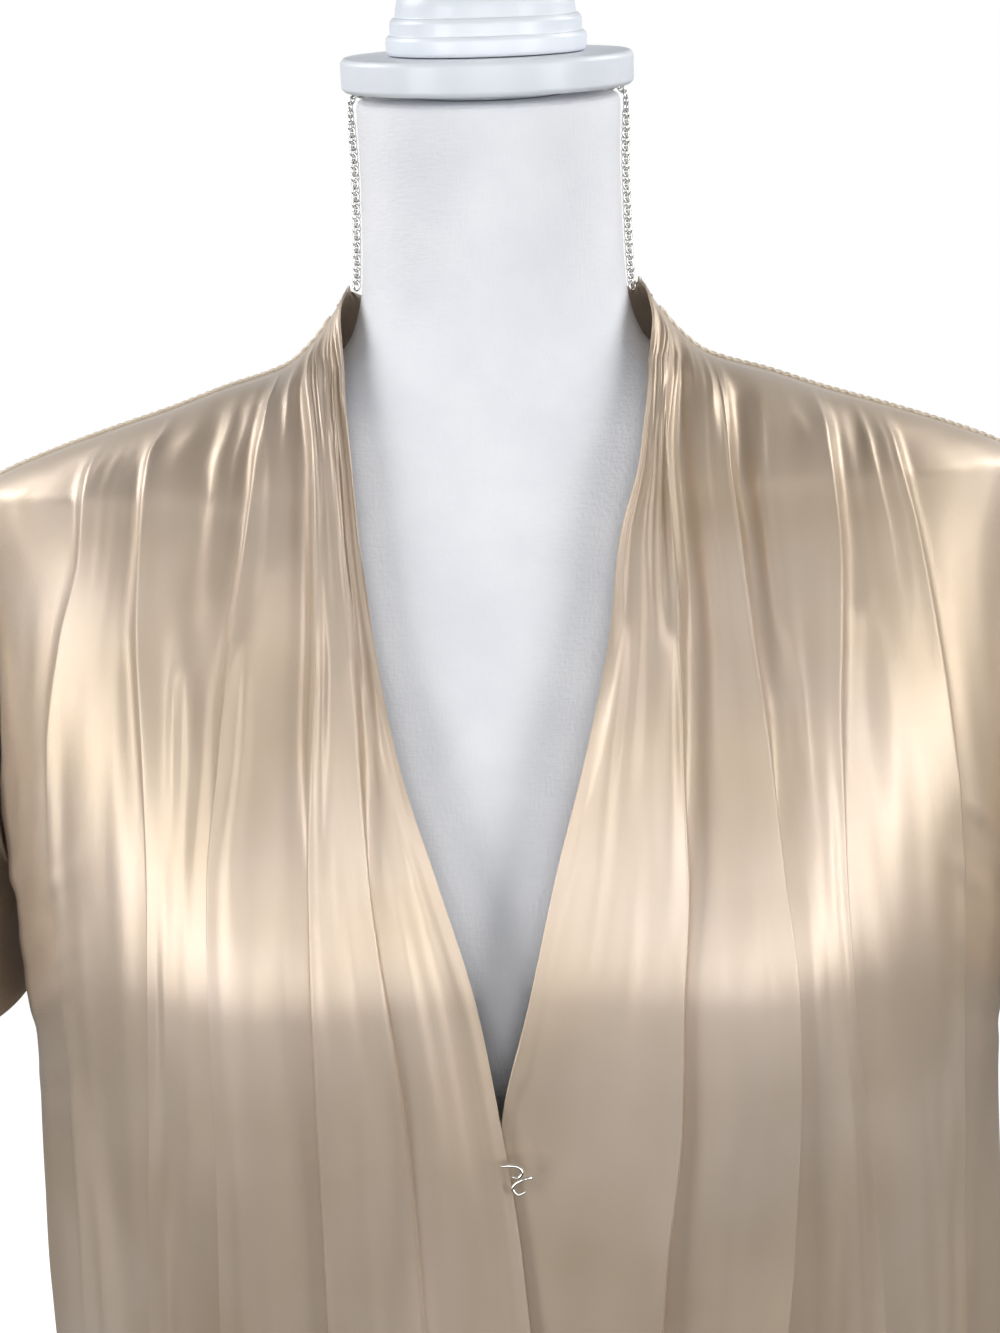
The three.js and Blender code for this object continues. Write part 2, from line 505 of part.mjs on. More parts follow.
// ---------- hook and eye that close the V ----------
const WIRE = { radius: 0.6, steps: 14 };
const HOOK = [
  [-5, 0, 1], [-2, -0.2, 1.2], [1, -0.4, 0.6], [2.2, -0.6, -1.5], [0.8, -0.4, -3.4], [-1.4, 0, -3.2],
];
const EYE = [
  [5.5, 1.4, -4.2], [3.4, 0.6, -4.4], [0.3, 1.2, -6], [-1.4, 1.6, -8.4], [0.6, 1.4, -10.6], [3, 1.4, -9.6],
];
function wireGeometry(points) {
  const extrudePath = new THREE.CatmullRomCurve3(points.map((p) => new THREE.Vector3(...p)));
  const section = new THREE.Shape().absarc(0, 0, WIRE.radius, 0, 2 * Math.PI);
  return new THREE.ExtrudeGeometry(section,
    { steps: WIRE.steps, curveSegments: 4, bevelEnabled: false, extrudePath });
}
const FASTENING = new THREE.Group();
FASTENING.position.set(-2.5, -131.8, 605);
group.add(FASTENING);
add("hook", wireGeometry(HOOK), SILVER, FASTENING);
add("eye", wireGeometry(EYE), SILVER, FASTENING);

// ---------- dress form ----------
const FORM_STEPS = 32;
function formRings() {
  return FORM.map((row) => Array.from({ length: FORM_STEPS }, (_, j) => {
    const point = bodyPoint(FORM, FORM_BUST, (2 * Math.PI * j) / FORM_STEPS, row.z);
    point.z += (point.y - NECK_TOP.y) * Math.tan(NECK_TOP.tilt) * smooth(925, 976, row.z);
    return point;
  }));
}
add("form_torso", ringSolid(formRings()), LINEN);

// Turned neck cap: a spigot and wide disc, and a stepped knob on it. Radius and height pairs.
const CAP_DISC = [
  [0, 0.4], [28, 0.4], [28, 3.2], [54, 3.2], [55.4, 4.6], [55.4, 14.2], [54, 15.7], [0, 15.7],
];
const CAP_KNOB = [
  [0, 16.1], [37.2, 16.1], [37.9, 17.2], [37.9, 21.9], [37, 23.1], [36.2, 23.3], [36.2, 28], [35, 29.4],
  [34.2, 29.6], [33.4, 35], [30, 42], [23.5, 48], [15, 51.4], [8.5, 52.6], [9.6, 56], [11, 60], [9.6, 64.4],
  [5.6, 67.4], [0, 68.4],
];
const capGroup = new THREE.Group();
capGroup.position.set(0, NECK_TOP.y, NECK_TOP.z);
capGroup.rotation.x = NECK_TOP.tilt;
group.add(capGroup);
function turned(name, profile, segments, parent = group) {
  const geometry = new THREE.LatheGeometry(profile.map(([r, h]) => new THREE.Vector2(r, h)), segments);
  geometry.rotateX(Math.PI / 2);
  return add(name, geometry, PAINT, parent);
}
turned("neck_cap_disc", CAP_DISC, 36, capGroup);
turned("neck_cap_knob", CAP_KNOB, 20, capGroup);

// Chain: from the top of one shoulder seam up the neck, behind the cap's spigot and down to the other.
const CHAIN = { radius: 1, clear: 0.7, y: -3, sides: 6, steps: 84 };
function chainPath() {
  const beside = (z) => lookup(FORM, "half", z) + CHAIN.radius + CHAIN.clear;
  const rise = [911, 916, 923, 932, 945, 958, 969, 975].map((z) => [beside(z), CHAIN.y, z]);
  const level = CHAIN.radius + 0.75; // above the top of the neck
  const rim = beside(979);
  const bend = [
    [rim, 1, -4], [rim - 0.2, 1.8, -1], [rim - 1.7, 2.6, 0.9], [rim - 4.6, 3.5, level], [42, 6, level],
  ];
  const spigotPath = CAP_DISC[1][0] + CHAIN.radius + 0.8;
  const behind = [25, 45, 70].map((degrees) => {
    const a = THREE.MathUtils.degToRad(degrees);
    const r = THREE.MathUtils.lerp(37, spigotPath, Math.min(1, degrees / 60));
    return [r * Math.cos(a), r * Math.sin(a), level];
  });
  const onNeck = [...bend, ...behind, [0, spigotPath, level]].map(([x, y, h]) => {
    const p = new THREE.Vector3(x, y, h).applyEuler(capGroup.rotation).add(capGroup.position);
    return p.toArray();
  });
  const half = [...rise, ...onNeck];
  const mirrored = half.slice(0, -1).reverse().map(([x, y, z]) => [-x, y, z]);
  return new THREE.CatmullRomCurve3([...half, ...mirrored].map((p) => new THREE.Vector3(...p)));
}
const chainSection = new THREE.Shape(Array.from({ length: CHAIN.sides }, (_, k) => {
  const a = (2 * Math.PI * k) / CHAIN.sides;
  return new THREE.Vector2(CHAIN.radius * Math.cos(a), CHAIN.radius * Math.sin(a));
}));
add("neck_chain", new THREE.ExtrudeGeometry(chainSection,
  { steps: CHAIN.steps, bevelEnabled: false, extrudePath: chainPath() }), SILVER);

// ---------- counter stand ----------
const FLANGE_TOP = FORM_BOTTOM - 0.4;
const FLANGE = [[0, 190], [20, 190], [24, 194], [24, 200], [44, 206], [44, FLANGE_TOP], [0, FLANGE_TOP]];
const POLE = [[0, 15.4], [26, 15.4], [26, 19], [17, 26], [13.5, 34], [13.5, 189.6], [0, 189.6]];
const BASE = [[0, 0], [147, 0], [150, 3], [150, 9], [146, 12], [60, 15], [0, 15]];
turned("form_flange", FLANGE, 32);
turned("stand_pole", POLE, 24);
turned("stand_base", BASE, 48);

export default group;
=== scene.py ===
import math

import bpy
import numpy as np
from mathutils import Matrix, Vector


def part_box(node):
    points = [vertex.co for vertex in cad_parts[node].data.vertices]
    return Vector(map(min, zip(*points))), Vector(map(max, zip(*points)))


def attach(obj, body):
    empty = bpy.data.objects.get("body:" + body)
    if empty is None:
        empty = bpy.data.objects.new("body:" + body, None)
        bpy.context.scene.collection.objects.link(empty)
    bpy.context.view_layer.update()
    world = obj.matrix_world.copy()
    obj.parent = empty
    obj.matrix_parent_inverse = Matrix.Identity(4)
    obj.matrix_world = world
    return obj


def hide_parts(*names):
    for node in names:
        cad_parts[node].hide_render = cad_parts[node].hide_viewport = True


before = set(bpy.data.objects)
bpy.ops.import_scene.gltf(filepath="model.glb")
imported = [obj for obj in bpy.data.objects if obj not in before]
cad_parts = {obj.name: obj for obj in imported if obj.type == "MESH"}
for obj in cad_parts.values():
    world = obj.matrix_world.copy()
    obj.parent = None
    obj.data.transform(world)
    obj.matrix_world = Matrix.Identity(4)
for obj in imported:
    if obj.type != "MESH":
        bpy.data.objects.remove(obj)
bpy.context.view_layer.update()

MM = 0.001
CLOTH = 0.5  # wall of the satin shells
KNIT_WALL = 0.8
BODY = "root"

# ---------- level sections: z, half width, depth to front and back, squareness ----------
FORM = [
    (215, 154, 85, 96, 2.3), (223, 160, 90, 101, 2.3), (260, 163, 94, 110, 2.3), (310, 166, 99, 118, 2.3),
    (350, 163, 100, 116, 2.25), (400, 150, 95, 104, 2.2), (450, 132, 87, 92, 2.15), (500, 117, 81, 82, 2.1),
    (550, 121, 87, 86, 2.15), (600, 132, 97, 94, 2.2), (640, 141, 106, 99, 2.25),
    (665, 146, 110, 102, 2.25), (700, 152, 108, 104, 2.3), (740, 159, 101, 105, 2.4),
    (780, 169, 90, 101, 2.5), (810, 179, 80, 94, 2.5),
    (828, 184, 73, 88, 2.3), (838, 183, 69, 83, 2.1), (847, 172, 65.5, 78, 2), (855, 154, 62.5, 73, 2),
    (862, 132, 60.5, 68, 2), (870, 105, 57.5, 63, 2), (877, 83, 55, 58, 2), (884, 67, 53, 54, 2),
    (892, 57.5, 51.5, 50.5, 2), (903, 53, 50.8, 48.8, 2), (914, 51, 51, 47.5, 2), (932, 50.2, 52.5, 46, 2),
    (958, 49.8, 54.5, 45, 2), (979, 50.4, 56.5, 45.5, 2), (982, 49.7, 55.7, 44.7, 2),
    (983, 48.2, 54.2, 43.2, 2),
]
TOP = [
    (421, 149.5, 98, 103.5, 2.2), (432, 168, 108, 109, 2.25), (450, 186, 117, 111, 2.35),
    (475, 196, 121, 111, 2.4), (520, 197, 122, 111, 2.4), (560, 196, 123, 111, 2.4),
    (612, 195, 125, 112, 2.4), (665, 199, 126, 114, 2.4), (710, 202.5, 121, 115, 2.4),
    (750, 205, 113, 114, 2.35), (790, 207, 99, 109, 2.3), (820, 208, 87, 101, 2.2),
    (839, 206, 78, 92, 2.1), (845, 197, 75.5, 88, 2.05), (853, 177, 72, 83, 2), (861, 153, 68.5, 78, 2),
    (869, 127, 65.5, 72.5, 2), (876, 107, 62.5, 67, 2), (884, 82, 59.5, 61, 2), (893, 71, 57, 57, 2),
    (904, 62.5, 55.5, 55, 2), (914, 56.5, 54.5, 55, 2),
]
BRIEF = [
    (150, 162, 92, 102, 2.3), (215, 164, 94.5, 105.5, 2.3), (260, 167.5, 98.5, 114.5, 2.3),
    (310, 170.5, 103.5, 122.5, 2.3), (350, 170.5, 107, 122.5, 2.25), (400, 155, 99.5, 109.5, 2.2),
    (421, 149.5, 98, 103.5, 2.2),
]
FORM_BUST = dict(lift=32, x=92, z=665, across=46, up=60, down=46)
TOP_BUST = dict(lift=20, x=92, z=665, across=58, up=75, down=190)
HEM_Z = 421
UNDERARM_Z = 690
TIP_Z = 839
ARMHOLE = dict(front=46, back=40)
SEAM = 0.4
NECK_TOP = dict(y=-5.5, z=983, tilt=math.radians(8))

# ---------- folds: distance from the centre line, and depth, at these heights ----------
LEVELS = [850, 820, 790, 750, 710, 665, 620, 570, 520, 425]
NECK_SEAM = 57.2  # where the neckline meets the shoulder seam
RIGHT_EDGE = dict(seam=NECK_SEAM, at=[53, 50.5, 46.5, 39, 27, 14.5, 7.5, 1.5, -2, -6])
RIGHT_FOLDS = [
    dict(seam=62, facing=-1, at=[58, 56, 53.5, 52, 50, 45, 41, 39, 38, 37],
         depth=[3, 4, 4.5, 4.5, 3.5, 2.5, 2, 1.5, 1.5, 1]),
    dict(seam=70, facing=1, at=[66, 66, 67, 69.5, 71.5, 72, 72, 72, 72, 71],
         depth=[4, 4.5, 4.5, 4.5, 5, 5, 4.5, 4.5, 4.5, 2]),
    dict(seam=84, facing=1, at=[88, 92, 97, 101, 105.5, 106.5, 107.5, 109.5, 111.5, 112],
         depth=[6.5, 6.5, 5.5, 4.5, 5, 5, 5, 5.5, 6, 2]),
    dict(seam=124, facing=1, at=[128.5, 130.5, 132, 130.5, 129.5, 131, 134, 138, 141, 140],
         depth=[4, 4, 4, 3.5, 3, 2.5, 3, 3.5, 4, 2]),
    dict(seam=150, facing=1, at=[153.5, 155, 162.5, 169, 171, 170, 169, 169, 170, 166],
         depth=[3, 4, 4, 3.5, 2.5, 2, 2.5, 3, 3, 1.5]),
]
LEFT_EDGE = dict(seam=NECK_SEAM, at=[50, 41, 36.5, 26.5, 15, 4, -7, -12, -14, -14])
LEFT_FOLDS = [
    dict(seam=64, facing=1, at=[59, 59.5, 60.5, 60.5, 61.5, 59, 57.5, 52, 48.5, 46],
         depth=[6, 7.5, 8, 7.5, 6.5, 5.5, 5.5, 6, 6.5, 2]),
    dict(seam=82, facing=1, at=[82, 84, 86.5, 90.5, 93.5, 97, 97.5, 96, 92, 90],
         depth=[6, 6.5, 6, 5.5, 6, 6.5, 7, 7, 7.5, 2]),
    dict(seam=121, facing=1, at=[120, 121, 119.5, 117, 117, 119, 124, 129, 132, 132],
         depth=[4, 4.5, 4.5, 4, 3, 2.5, 3, 3.5, 4, 2]),
    dict(seam=147, facing=1, at=[147, 151.5, 155.5, 160, 164, 166, 167, 168, 169, 165],
         depth=[3.5, 4.5, 4.5, 4, 3, 2.5, 2.5, 3, 3, 1.5]),
]
BACK_EDGE = dict(seam=NECK_SEAM, at=[40, 30, 24, 20, 18, 17, 16, 16, 16, 16])
BACK_NECK_DIP = 14
BACK_FOLDS = [
    dict(seam=66, facing=1, at=[60, 55, 52, 50, 48, 46, 45, 44, 43, 42],
         depth=[1, 1.5, 2, 2.5, 3, 3, 3.5, 4, 4, 2]),
    dict(seam=132, facing=1, at=[130, 126, 122, 118, 114, 110, 108, 106, 105, 104],
         depth=[1, 1.5, 2, 2.5, 3, 3, 3.5, 4, 4, 2]),
]
LEG_FRONT = [(150, 32), (215, 34), (235, 39), (260, 50), (285, 72), (310, 103), (323, 124), (332, 139),
             (338, 150), (342.5, 160)]
LEG_BACK = [(150, 32), (215, 35), (235, 46), (260, 70), (285, 102), (310, 133), (323, 145), (332, 152),
            (338, 157), (342.5, 162)]
SIDE_END_Z = 345


# ---------- small helpers ----------
def curve(points):
    """A smooth function through (place, value) pairs sorted by place, with no overshoot."""
    xs = np.array([p[0] for p in points], float)
    ys = np.array([p[1] for p in points], float)
    slopes = np.diff(ys) / np.diff(xs)
    tangents = np.zeros_like(ys)
    a, b = slopes[:-1], slopes[1:]
    same = a * b > 0
    tangents[1:-1][same] = (2 * a * b)[same] / (a + b)[same]

    def value(x):
        x = np.clip(np.asarray(x, float), xs[0], xs[-1])
        i = np.clip(np.searchsorted(xs, x) - 1, 0, len(xs) - 2)
        step = xs[i + 1] - xs[i]
        t = (x - xs[i]) / step
        t2, t3 = t * t, t * t * t
        return ((2 * t3 - 3 * t2 + 1) * ys[i] + (t3 - 2 * t2 + t) * step * tangents[i]
                + (3 * t2 - 2 * t3) * ys[i + 1] + (t3 - t2) * step * tangents[i + 1])

    return value


def power(value, exponent):
    return np.sign(value) * np.abs(value) ** exponent


def smooth(start, end, value):
    """0 before start and 1 past end, with a soft step between them. start may be the larger."""
    t = np.clip((np.asarray(value, float) - start) / (end - start), 0, 1)
    return t * t * (3 - 2 * t)


def mix(a, b, share):
    return a + (b - a) * share


class Noise:
    """Smooth seeded noise over two coordinates, about -1 to 1, one cell wide per unit."""

    def __init__(self, seed):
        self.grid = np.random.default_rng(seed).uniform(-1, 1, (64, 64))

    def __call__(self, x, y):
        x, y = np.broadcast_arrays(np.asarray(x, float), np.asarray(y, float))
        i, j = np.floor(x).astype(int), np.floor(y).astype(int)
        s, t = smooth(0, 1, x - i), smooth(0, 1, y - j)
        g = self.grid
        low = mix(g[i % 64, j % 64], g[(i + 1) % 64, j % 64], s)
        high = mix(g[i % 64, (j + 1) % 64], g[(i + 1) % 64, (j + 1) % 64], s)
        return mix(low, high, t)


class Body:
    """A body of level sections. turn 0 is the front, a quarter turn the wearer's left side."""

    def __init__(self, rows, bust=None):
        self.half, self.front, self.back, self.square = (
            curve([(row[0], row[k]) for row in rows]) for k in (1, 2, 3, 4))
        self.bust = bust

    def point(self, turn, z):
        turn, z = np.broadcast_arrays(turn, z)
        exponent = 2 / self.square(z)
        c = np.cos(turn)
        x = self.half(z) * power(np.sin(turn), exponent)
        reach = np.where(c > 0, self.front(z), self.back(z))
        y = -reach * power(c, exponent)
        if self.bust:
            b = self.bust
            across = (np.abs(x) - b["x"]) / b["across"]
            along = (z - b["z"]) / np.where(z > b["z"], b["up"], b["down"])
            y = y - b["lift"] * np.exp(-across**2 - along**2) * np.sqrt(np.maximum(c, 0))
        return np.stack([x, y, z], -1)

    def normal(self, turn, z):
        along = self.point(turn + 0.004, z) - self.point(turn - 0.004, z)
        up = self.point(turn, z + 0.4) - self.point(turn, z - 0.4)
        n = np.cross(along, up)
        return n / np.maximum(np.linalg.norm(n, axis=-1, keepdims=True), 1e-9)

    def turn_at_x(self, x, z):
        return np.arcsin(power(np.clip(x / self.half(z), -1, 1), self.square(z) / 2))

    def turn_from_side(self, face, distance, z):
        reach = self.front(z) if face == "front" else self.back(z)
        return np.arccos((distance / reach) ** (self.square(z) / 2))


top_front = Body(TOP, TOP_BUST)
top_back = Body(TOP)
form_body = Body(FORM, FORM_BUST)
brief_body = Body(BRIEF)


# ---------- meshes ----------
def make_object(name, vertices, faces, material, smooth_shading=True):
    mesh = bpy.data.meshes.new(name)
    vertices = np.asarray(vertices, float) * MM
    mesh.from_pydata(vertices.tolist(), [], [list(map(int, f)) for f in faces])
    mesh.validate()
    mesh.update()
    if smooth_shading:
        mesh.polygons.foreach_set("use_smooth", [True] * len(mesh.polygons))
    mesh.materials.append(material)
    piece = bpy.data.objects.new(name, mesh)
    bpy.context.scene.collection.objects.link(piece)
    return piece


def place(piece, slot, *nodes):
    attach(piece, BODY)
    if nodes:
        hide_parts(*nodes)
    return piece


def full_turn(count):
    """Evenly spaced angles around a circle."""
    return np.arange(count) * 2 * math.pi / count


def ring_faces(rings, sides, closed=False):
    """Quads between neighbouring rings of vertices, and back to the first ring if closed."""
    i, j = np.meshgrid(np.arange(rings if closed else rings - 1), np.arange(sides), indexing="ij")
    k, after = (j + 1) % sides, (i + 1) % rings
    quads = [i * sides + j, i * sides + k, after * sides + k, after * sides + j]
    return np.stack(quads, -1).reshape(-1, 4).tolist()


def capped_rings(rings, sides):
    """Faces of stacked rings, closed by fans to two more vertices, below and above."""
    last = (rings - 1) * sides
    bottom, tip = rings * sides, rings * sides + 1
    faces = ring_faces(rings, sides)
    for j in range(sides):
        k = (j + 1) % sides
        faces += [(bottom, k, j), (tip, last + j, last + k)]
    return faces


def grid_normals(points, wrapped=False):
    if wrapped:
        across = np.roll(points, -1, 1) - np.roll(points, 1, 1)
    else:
        across = np.gradient(points, axis=1)
    down = np.gradient(points, axis=0)
    normals = np.cross(across, down)
    return normals / np.maximum(np.linalg.norm(normals, axis=-1, keepdims=True), 1e-9)


def shell(name, points, material, wrapped=False, inwards=1, thickness=CLOTH, flip=False):
    """A closed thin wall on a grid of outer points."""
    m, n = points.shape[:2]
    inner_points = points + grid_normals(points, wrapped) * inwards * thickness
    vertices = np.concatenate([points.reshape(-1, 3), inner_points.reshape(-1, 3)])
    i, j = np.meshgrid(np.arange(m - 1), np.arange(n if wrapped else n - 1), indexing="ij")
    k = (j + 1) % n
    a, b, c, d = i * n + j, i * n + k, (i + 1) * n + k, (i + 1) * n + j
    outer = np.stack([a, b, c, d], -1).reshape(-1, 4)
    inner = np.stack([a, d, c, b], -1).reshape(-1, 4) + m * n
    rims = []
    top = np.arange(n if wrapped else n - 1)
    nxt = (top + 1) % n
    rims.append(np.stack([top, top + m * n, nxt + m * n, nxt], -1))
    low = (m - 1) * n
    rims.append(np.stack([low + top, low + nxt, low + nxt + m * n, low + top + m * n], -1))
    if not wrapped:
        side = np.arange(m - 1) * n
        rims.append(np.stack([side, side + n, side + n + m * n, side + m * n], -1))
        side = side + n - 1
        rims.append(np.stack([side, side + m * n, side + n + m * n, side + n], -1))
    faces = np.concatenate([outer, inner, *rims])
    if flip:
        faces = faces[:, ::-1]
    return make_object(name, vertices, faces, material)


def lathe(name, profile, material, segments=96, matrix=None):
    """A turned solid. The profile is (radius, height) pairs from the axis to the axis."""
    rings = profile[1:-1]
    vertices = [(r * math.cos(t), r * math.sin(t), h) for r, h in rings for t in full_turn(segments)]
    vertices += [(0, 0, profile[0][1]), (0, 0, profile[-1][1])]
    faces = capped_rings(len(rings), segments)
    vertices = np.array(vertices, float)
    if matrix is not None:
        vertices = vertices @ matrix[:3, :3].T + matrix[:3, 3]
    return make_object(name, vertices, faces, material)


def rounded(profile, radius=0.8, steps=4):
    """A profile with its inner corners rounded."""
    out = [profile[0]]
    for before, here, after in zip(profile, profile[1:], profile[2:]):
        b, h, a = (np.array(p, float) for p in (before, here, after))
        r = min(radius, 0.4 * np.linalg.norm(h - b), 0.4 * np.linalg.norm(a - h))
        if r < 0.05 or here[0] < 0.01:
            out.append(here)
            continue
        start = h + (b - h) / np.linalg.norm(b - h) * r
        end = h + (a - h) / np.linalg.norm(a - h) * r
        for k in range(steps + 1):
            t = k / steps
            out.append(tuple((1 - t) ** 2 * start + 2 * t * (1 - t) * h + t * t * end))
    return out + [profile[-1]]


def frames_along(path):
    """Tangent and two cross directions along a polyline, turning as little as possible."""
    path = np.asarray(path, float)
    tangent = np.gradient(path, axis=0)
    tangent /= np.linalg.norm(tangent, axis=1, keepdims=True)
    side = np.zeros_like(path)
    guess = np.array([0, -1.0, 0.05])
    for i, t in enumerate(tangent):
        guess = guess - t * guess.dot(t)
        guess /= np.linalg.norm(guess)
        side[i] = guess
    return tangent, side, np.cross(tangent, side)


def tube(path, radius, sides=10):
    """Vertices and faces of a closed tube. radius is a number or one for each ring and side."""
    path = np.asarray(path, float)
    _, side, other = frames_along(path)
    turns = full_turn(sides)
    radius = np.broadcast_to(np.asarray(radius, float), (len(path), sides))
    rings = (path[:, None] + radius[..., None] * (np.cos(turns)[None, :, None] * side[:, None]
             + np.sin(turns)[None, :, None] * other[:, None]))
    vertices = rings.reshape(-1, 3)
    faces = ring_faces(len(path), sides)
    faces.append(tuple(range(sides))[::-1])
    faces.append(tuple(range((len(path) - 1) * sides, len(path) * sides)))
    return vertices, faces


def joined(name, parts, material):
    """One object from many (vertices, faces) pieces."""
    vertices, faces, count = [], [], 0
    for v, f in parts:
        vertices.append(np.asarray(v, float))
        faces += [tuple(i + count for i in face) for face in f]
        count += len(v)
    return make_object(name, np.concatenate(vertices), faces, material)


def through(points, steps):
    """A smooth curve through a few points (Catmull-Rom)."""
    p = np.asarray(points, float)
    p = np.vstack([2 * p[0] - p[1], p, 2 * p[-1] - p[-2]])
    out = []
    for i in range(1, len(p) - 2):
        for t in np.arange(steps) / steps:
            out.append(0.5 * (2 * p[i] + (p[i + 1] - p[i - 1]) * t
                       + (2 * p[i - 1] - 5 * p[i] + 4 * p[i + 1] - p[i + 2]) * t**2
                       + (3 * p[i] - p[i - 1] - 3 * p[i + 1] + p[i + 2]) * t**3))
    out.append(p[-2])
    return np.array(out)


# ---------- materials ----------
def new_material(name, **sockets):
    material = bpy.data.materials.new(name)
    material.use_nodes = True
    shader = material.node_tree.nodes["Principled BSDF"]
    for key, value in sockets.items():
        shader.inputs[key.replace("_", " ")].default_value = value
    return material, material.node_tree.nodes, material.node_tree.links, shader


def add_node(nodes, kind, **values):
    node = nodes.new(kind)
    for key, value in values.items():
        if hasattr(node, key) and key not in node.inputs:
            setattr(node, key, value)
        else:
            node.inputs[key].default_value = value
    return node


def object_coordinates(nodes, links, scale=(1, 1, 1), rotation=(0, 0, 0)):
    place_node = nodes.new("ShaderNodeTexCoord")
    mapping = nodes.new("ShaderNodeMapping")
    mapping.inputs["Scale"].default_value = scale
    mapping.inputs["Rotation"].default_value = rotation
    links.new(place_node.outputs["Object"], mapping.inputs["Vector"])
    return mapping.outputs["Vector"]


def colour_by_noise(nodes, links, shader, vector, dark, light, scale, detail=3.0):
    noise = add_node(nodes, "ShaderNodeTexNoise", Scale=scale, Detail=detail)
    ramp = nodes.new("ShaderNodeValToRGB")
    ramp.color_ramp.elements[0].color = (*dark, 1)
    ramp.color_ramp.elements[1].color = (*light, 1)
    ramp.color_ramp.elements[0].position = 0.3
    ramp.color_ramp.elements[1].position = 0.7
    links.new(vector, noise.inputs["Vector"])
    links.new(noise.outputs["Fac"], ramp.inputs["Fac"])
    links.new(ramp.outputs["Color"], shader.inputs["Base Color"])


def bump_from(nodes, links, shader, heights, strength, distance):
    bump = add_node(nodes, "ShaderNodeBump", Strength=strength, Distance=distance)
    links.new(heights, bump.inputs["Height"])
    links.new(bump.outputs["Normal"], shader.inputs["Normal"])


def texture(nodes, links, kind, vector, **values):
    """The height of a procedural texture node."""
    node = add_node(nodes, kind, **values)
    links.new(vector, node.inputs["Vector"])
    return node.outputs["Fac"]


def math_node(nodes, links, operation, *inputs):
    """The result of a Math node whose inputs are sockets or plain numbers."""
    node = add_node(nodes, "ShaderNodeMath", operation=operation)
    for socket, value in zip(node.inputs, inputs):
        if isinstance(value, bpy.types.NodeSocket):
            links.new(value, socket)
        else:
            socket.default_value = value
    return node.outputs[0]


def satin_material():
    material, nodes, links, shader = new_material(
        "satin", Roughness=0.4, Metallic=0.46, Specular_IOR_Level=0.9, Anisotropic=0.45,
        Sheen_Weight=0.05, Sheen_Roughness=0.4)
    vector = object_coordinates(nodes, links)
    colour_by_noise(nodes, links, shader, vector, (0.52, 0.405, 0.285), (0.60, 0.495, 0.405), 11.0)
    twill = texture(nodes, links, "ShaderNodeTexWave", vector, Scale=640.0, Distortion=1.2, Detail=2.0,
                    bands_direction="DIAGONAL")
    along = object_coordinates(nodes, links, (1.0, 1.0, 0.12))
    slub = texture(nodes, links, "ShaderNodeTexNoise", along, Scale=420.0, Detail=4.0)
    heights = math_node(nodes, links, "MULTIPLY_ADD", twill, 0.5, slub)
    bump_from(nodes, links, shader, heights, 0.16, 0.0004)
    return material


def knit_material():
    material, nodes, links, shader = new_material("knit", Roughness=0.75, Sheen_Weight=0.25)
    vector = object_coordinates(nodes, links)
    colour_by_noise(nodes, links, shader, vector, (0.53, 0.43, 0.32), (0.58, 0.48, 0.36), 12.0)
    ribs = texture(nodes, links, "ShaderNodeTexWave", vector, Scale=330.0, Distortion=0.4)
    bump_from(nodes, links, shader, ribs, 0.35, 0.0004)
    return material


def linen_material():
    material, nodes, links, shader = new_material("linen", Roughness=0.92, Sheen_Weight=0.15)
    vector = object_coordinates(nodes, links)
    colour_by_noise(nodes, links, shader, vector, (0.70, 0.71, 0.745), (0.78, 0.785, 0.81), 26.0)
    threads = dict(Scale=900.0, Detail=2.0)
    upright = object_coordinates(nodes, links, (1.0, 1.0, 0.22), (0, 0.3, 0))
    level = object_coordinates(nodes, links, (0.22, 0.22, 1.0), (0, 0.3, 0))
    warp = texture(nodes, links, "ShaderNodeTexNoise", upright, **threads)
    weft = texture(nodes, links, "ShaderNodeTexNoise", level, **threads)
    heights = math_node(nodes, links, "MULTIPLY_ADD", weft, 1.0, warp)
    bump_from(nodes, links, shader, heights, 0.45, 0.0006)
    return material


def paint_material():
    material, nodes, links, shader = new_material("paint", Roughness=0.42, Coat_Weight=0.15)
    vector = object_coordinates(nodes, links)
    colour_by_noise(nodes, links, shader, vector, (0.66, 0.70, 0.755), (0.74, 0.77, 0.815), 30.0)
    dents = texture(nodes, links, "ShaderNodeTexNoise", vector, Scale=70.0, Detail=6.0)
    bump_from(nodes, links, shader, dents, 0.25, 0.0012)
    return material


def steel_material():
    material, nodes, links, shader = new_material("powder_coat", Roughness=0.5, Metallic=0.1)
    vector = object_coordinates(nodes, links)
    colour_by_noise(nodes, links, shader, vector, (0.80, 0.81, 0.82), (0.84, 0.85, 0.86), 40.0)
    grain = texture(nodes, links, "ShaderNodeTexNoise", vector, Scale=900.0, Detail=2.0)
    bump_from(nodes, links, shader, grain, 0.2, 0.0003)
    return material


def silver_material():
    material, nodes, links, shader = new_material("silver", Roughness=0.24, Metallic=1.0)
    vector = object_coordinates(nodes, links)
    colour_by_noise(nodes, links, shader, vector, (0.74, 0.73, 0.70), (0.88, 0.87, 0.85), 260.0)
    scratches = texture(nodes, links, "ShaderNodeTexNoise", vector, Scale=1500.0, Detail=3.0)
    bump_from(nodes, links, shader, scratches, 0.1, 0.0002)
    return material


def thread_material():
    material, nodes, links, shader = new_material("thread", Roughness=0.5, Sheen_Weight=0.3)
    vector = object_coordinates(nodes, links)
    colour_by_noise(nodes, links, shader, vector, (0.60, 0.51, 0.39), (0.70, 0.61, 0.48), 300.0)
    return material


SATIN = satin_material()
KNIT = knit_material()
LINEN = linen_material()
PAINT = paint_material()
STEEL = steel_material()
SILVER = silver_material()
THREAD = thread_material()

# ---------- satin top ----------
ARMHOLE_MID = (TIP_Z + UNDERARM_Z) / 2
ARMHOLE_HALF = (TIP_Z - UNDERARM_Z) / 2


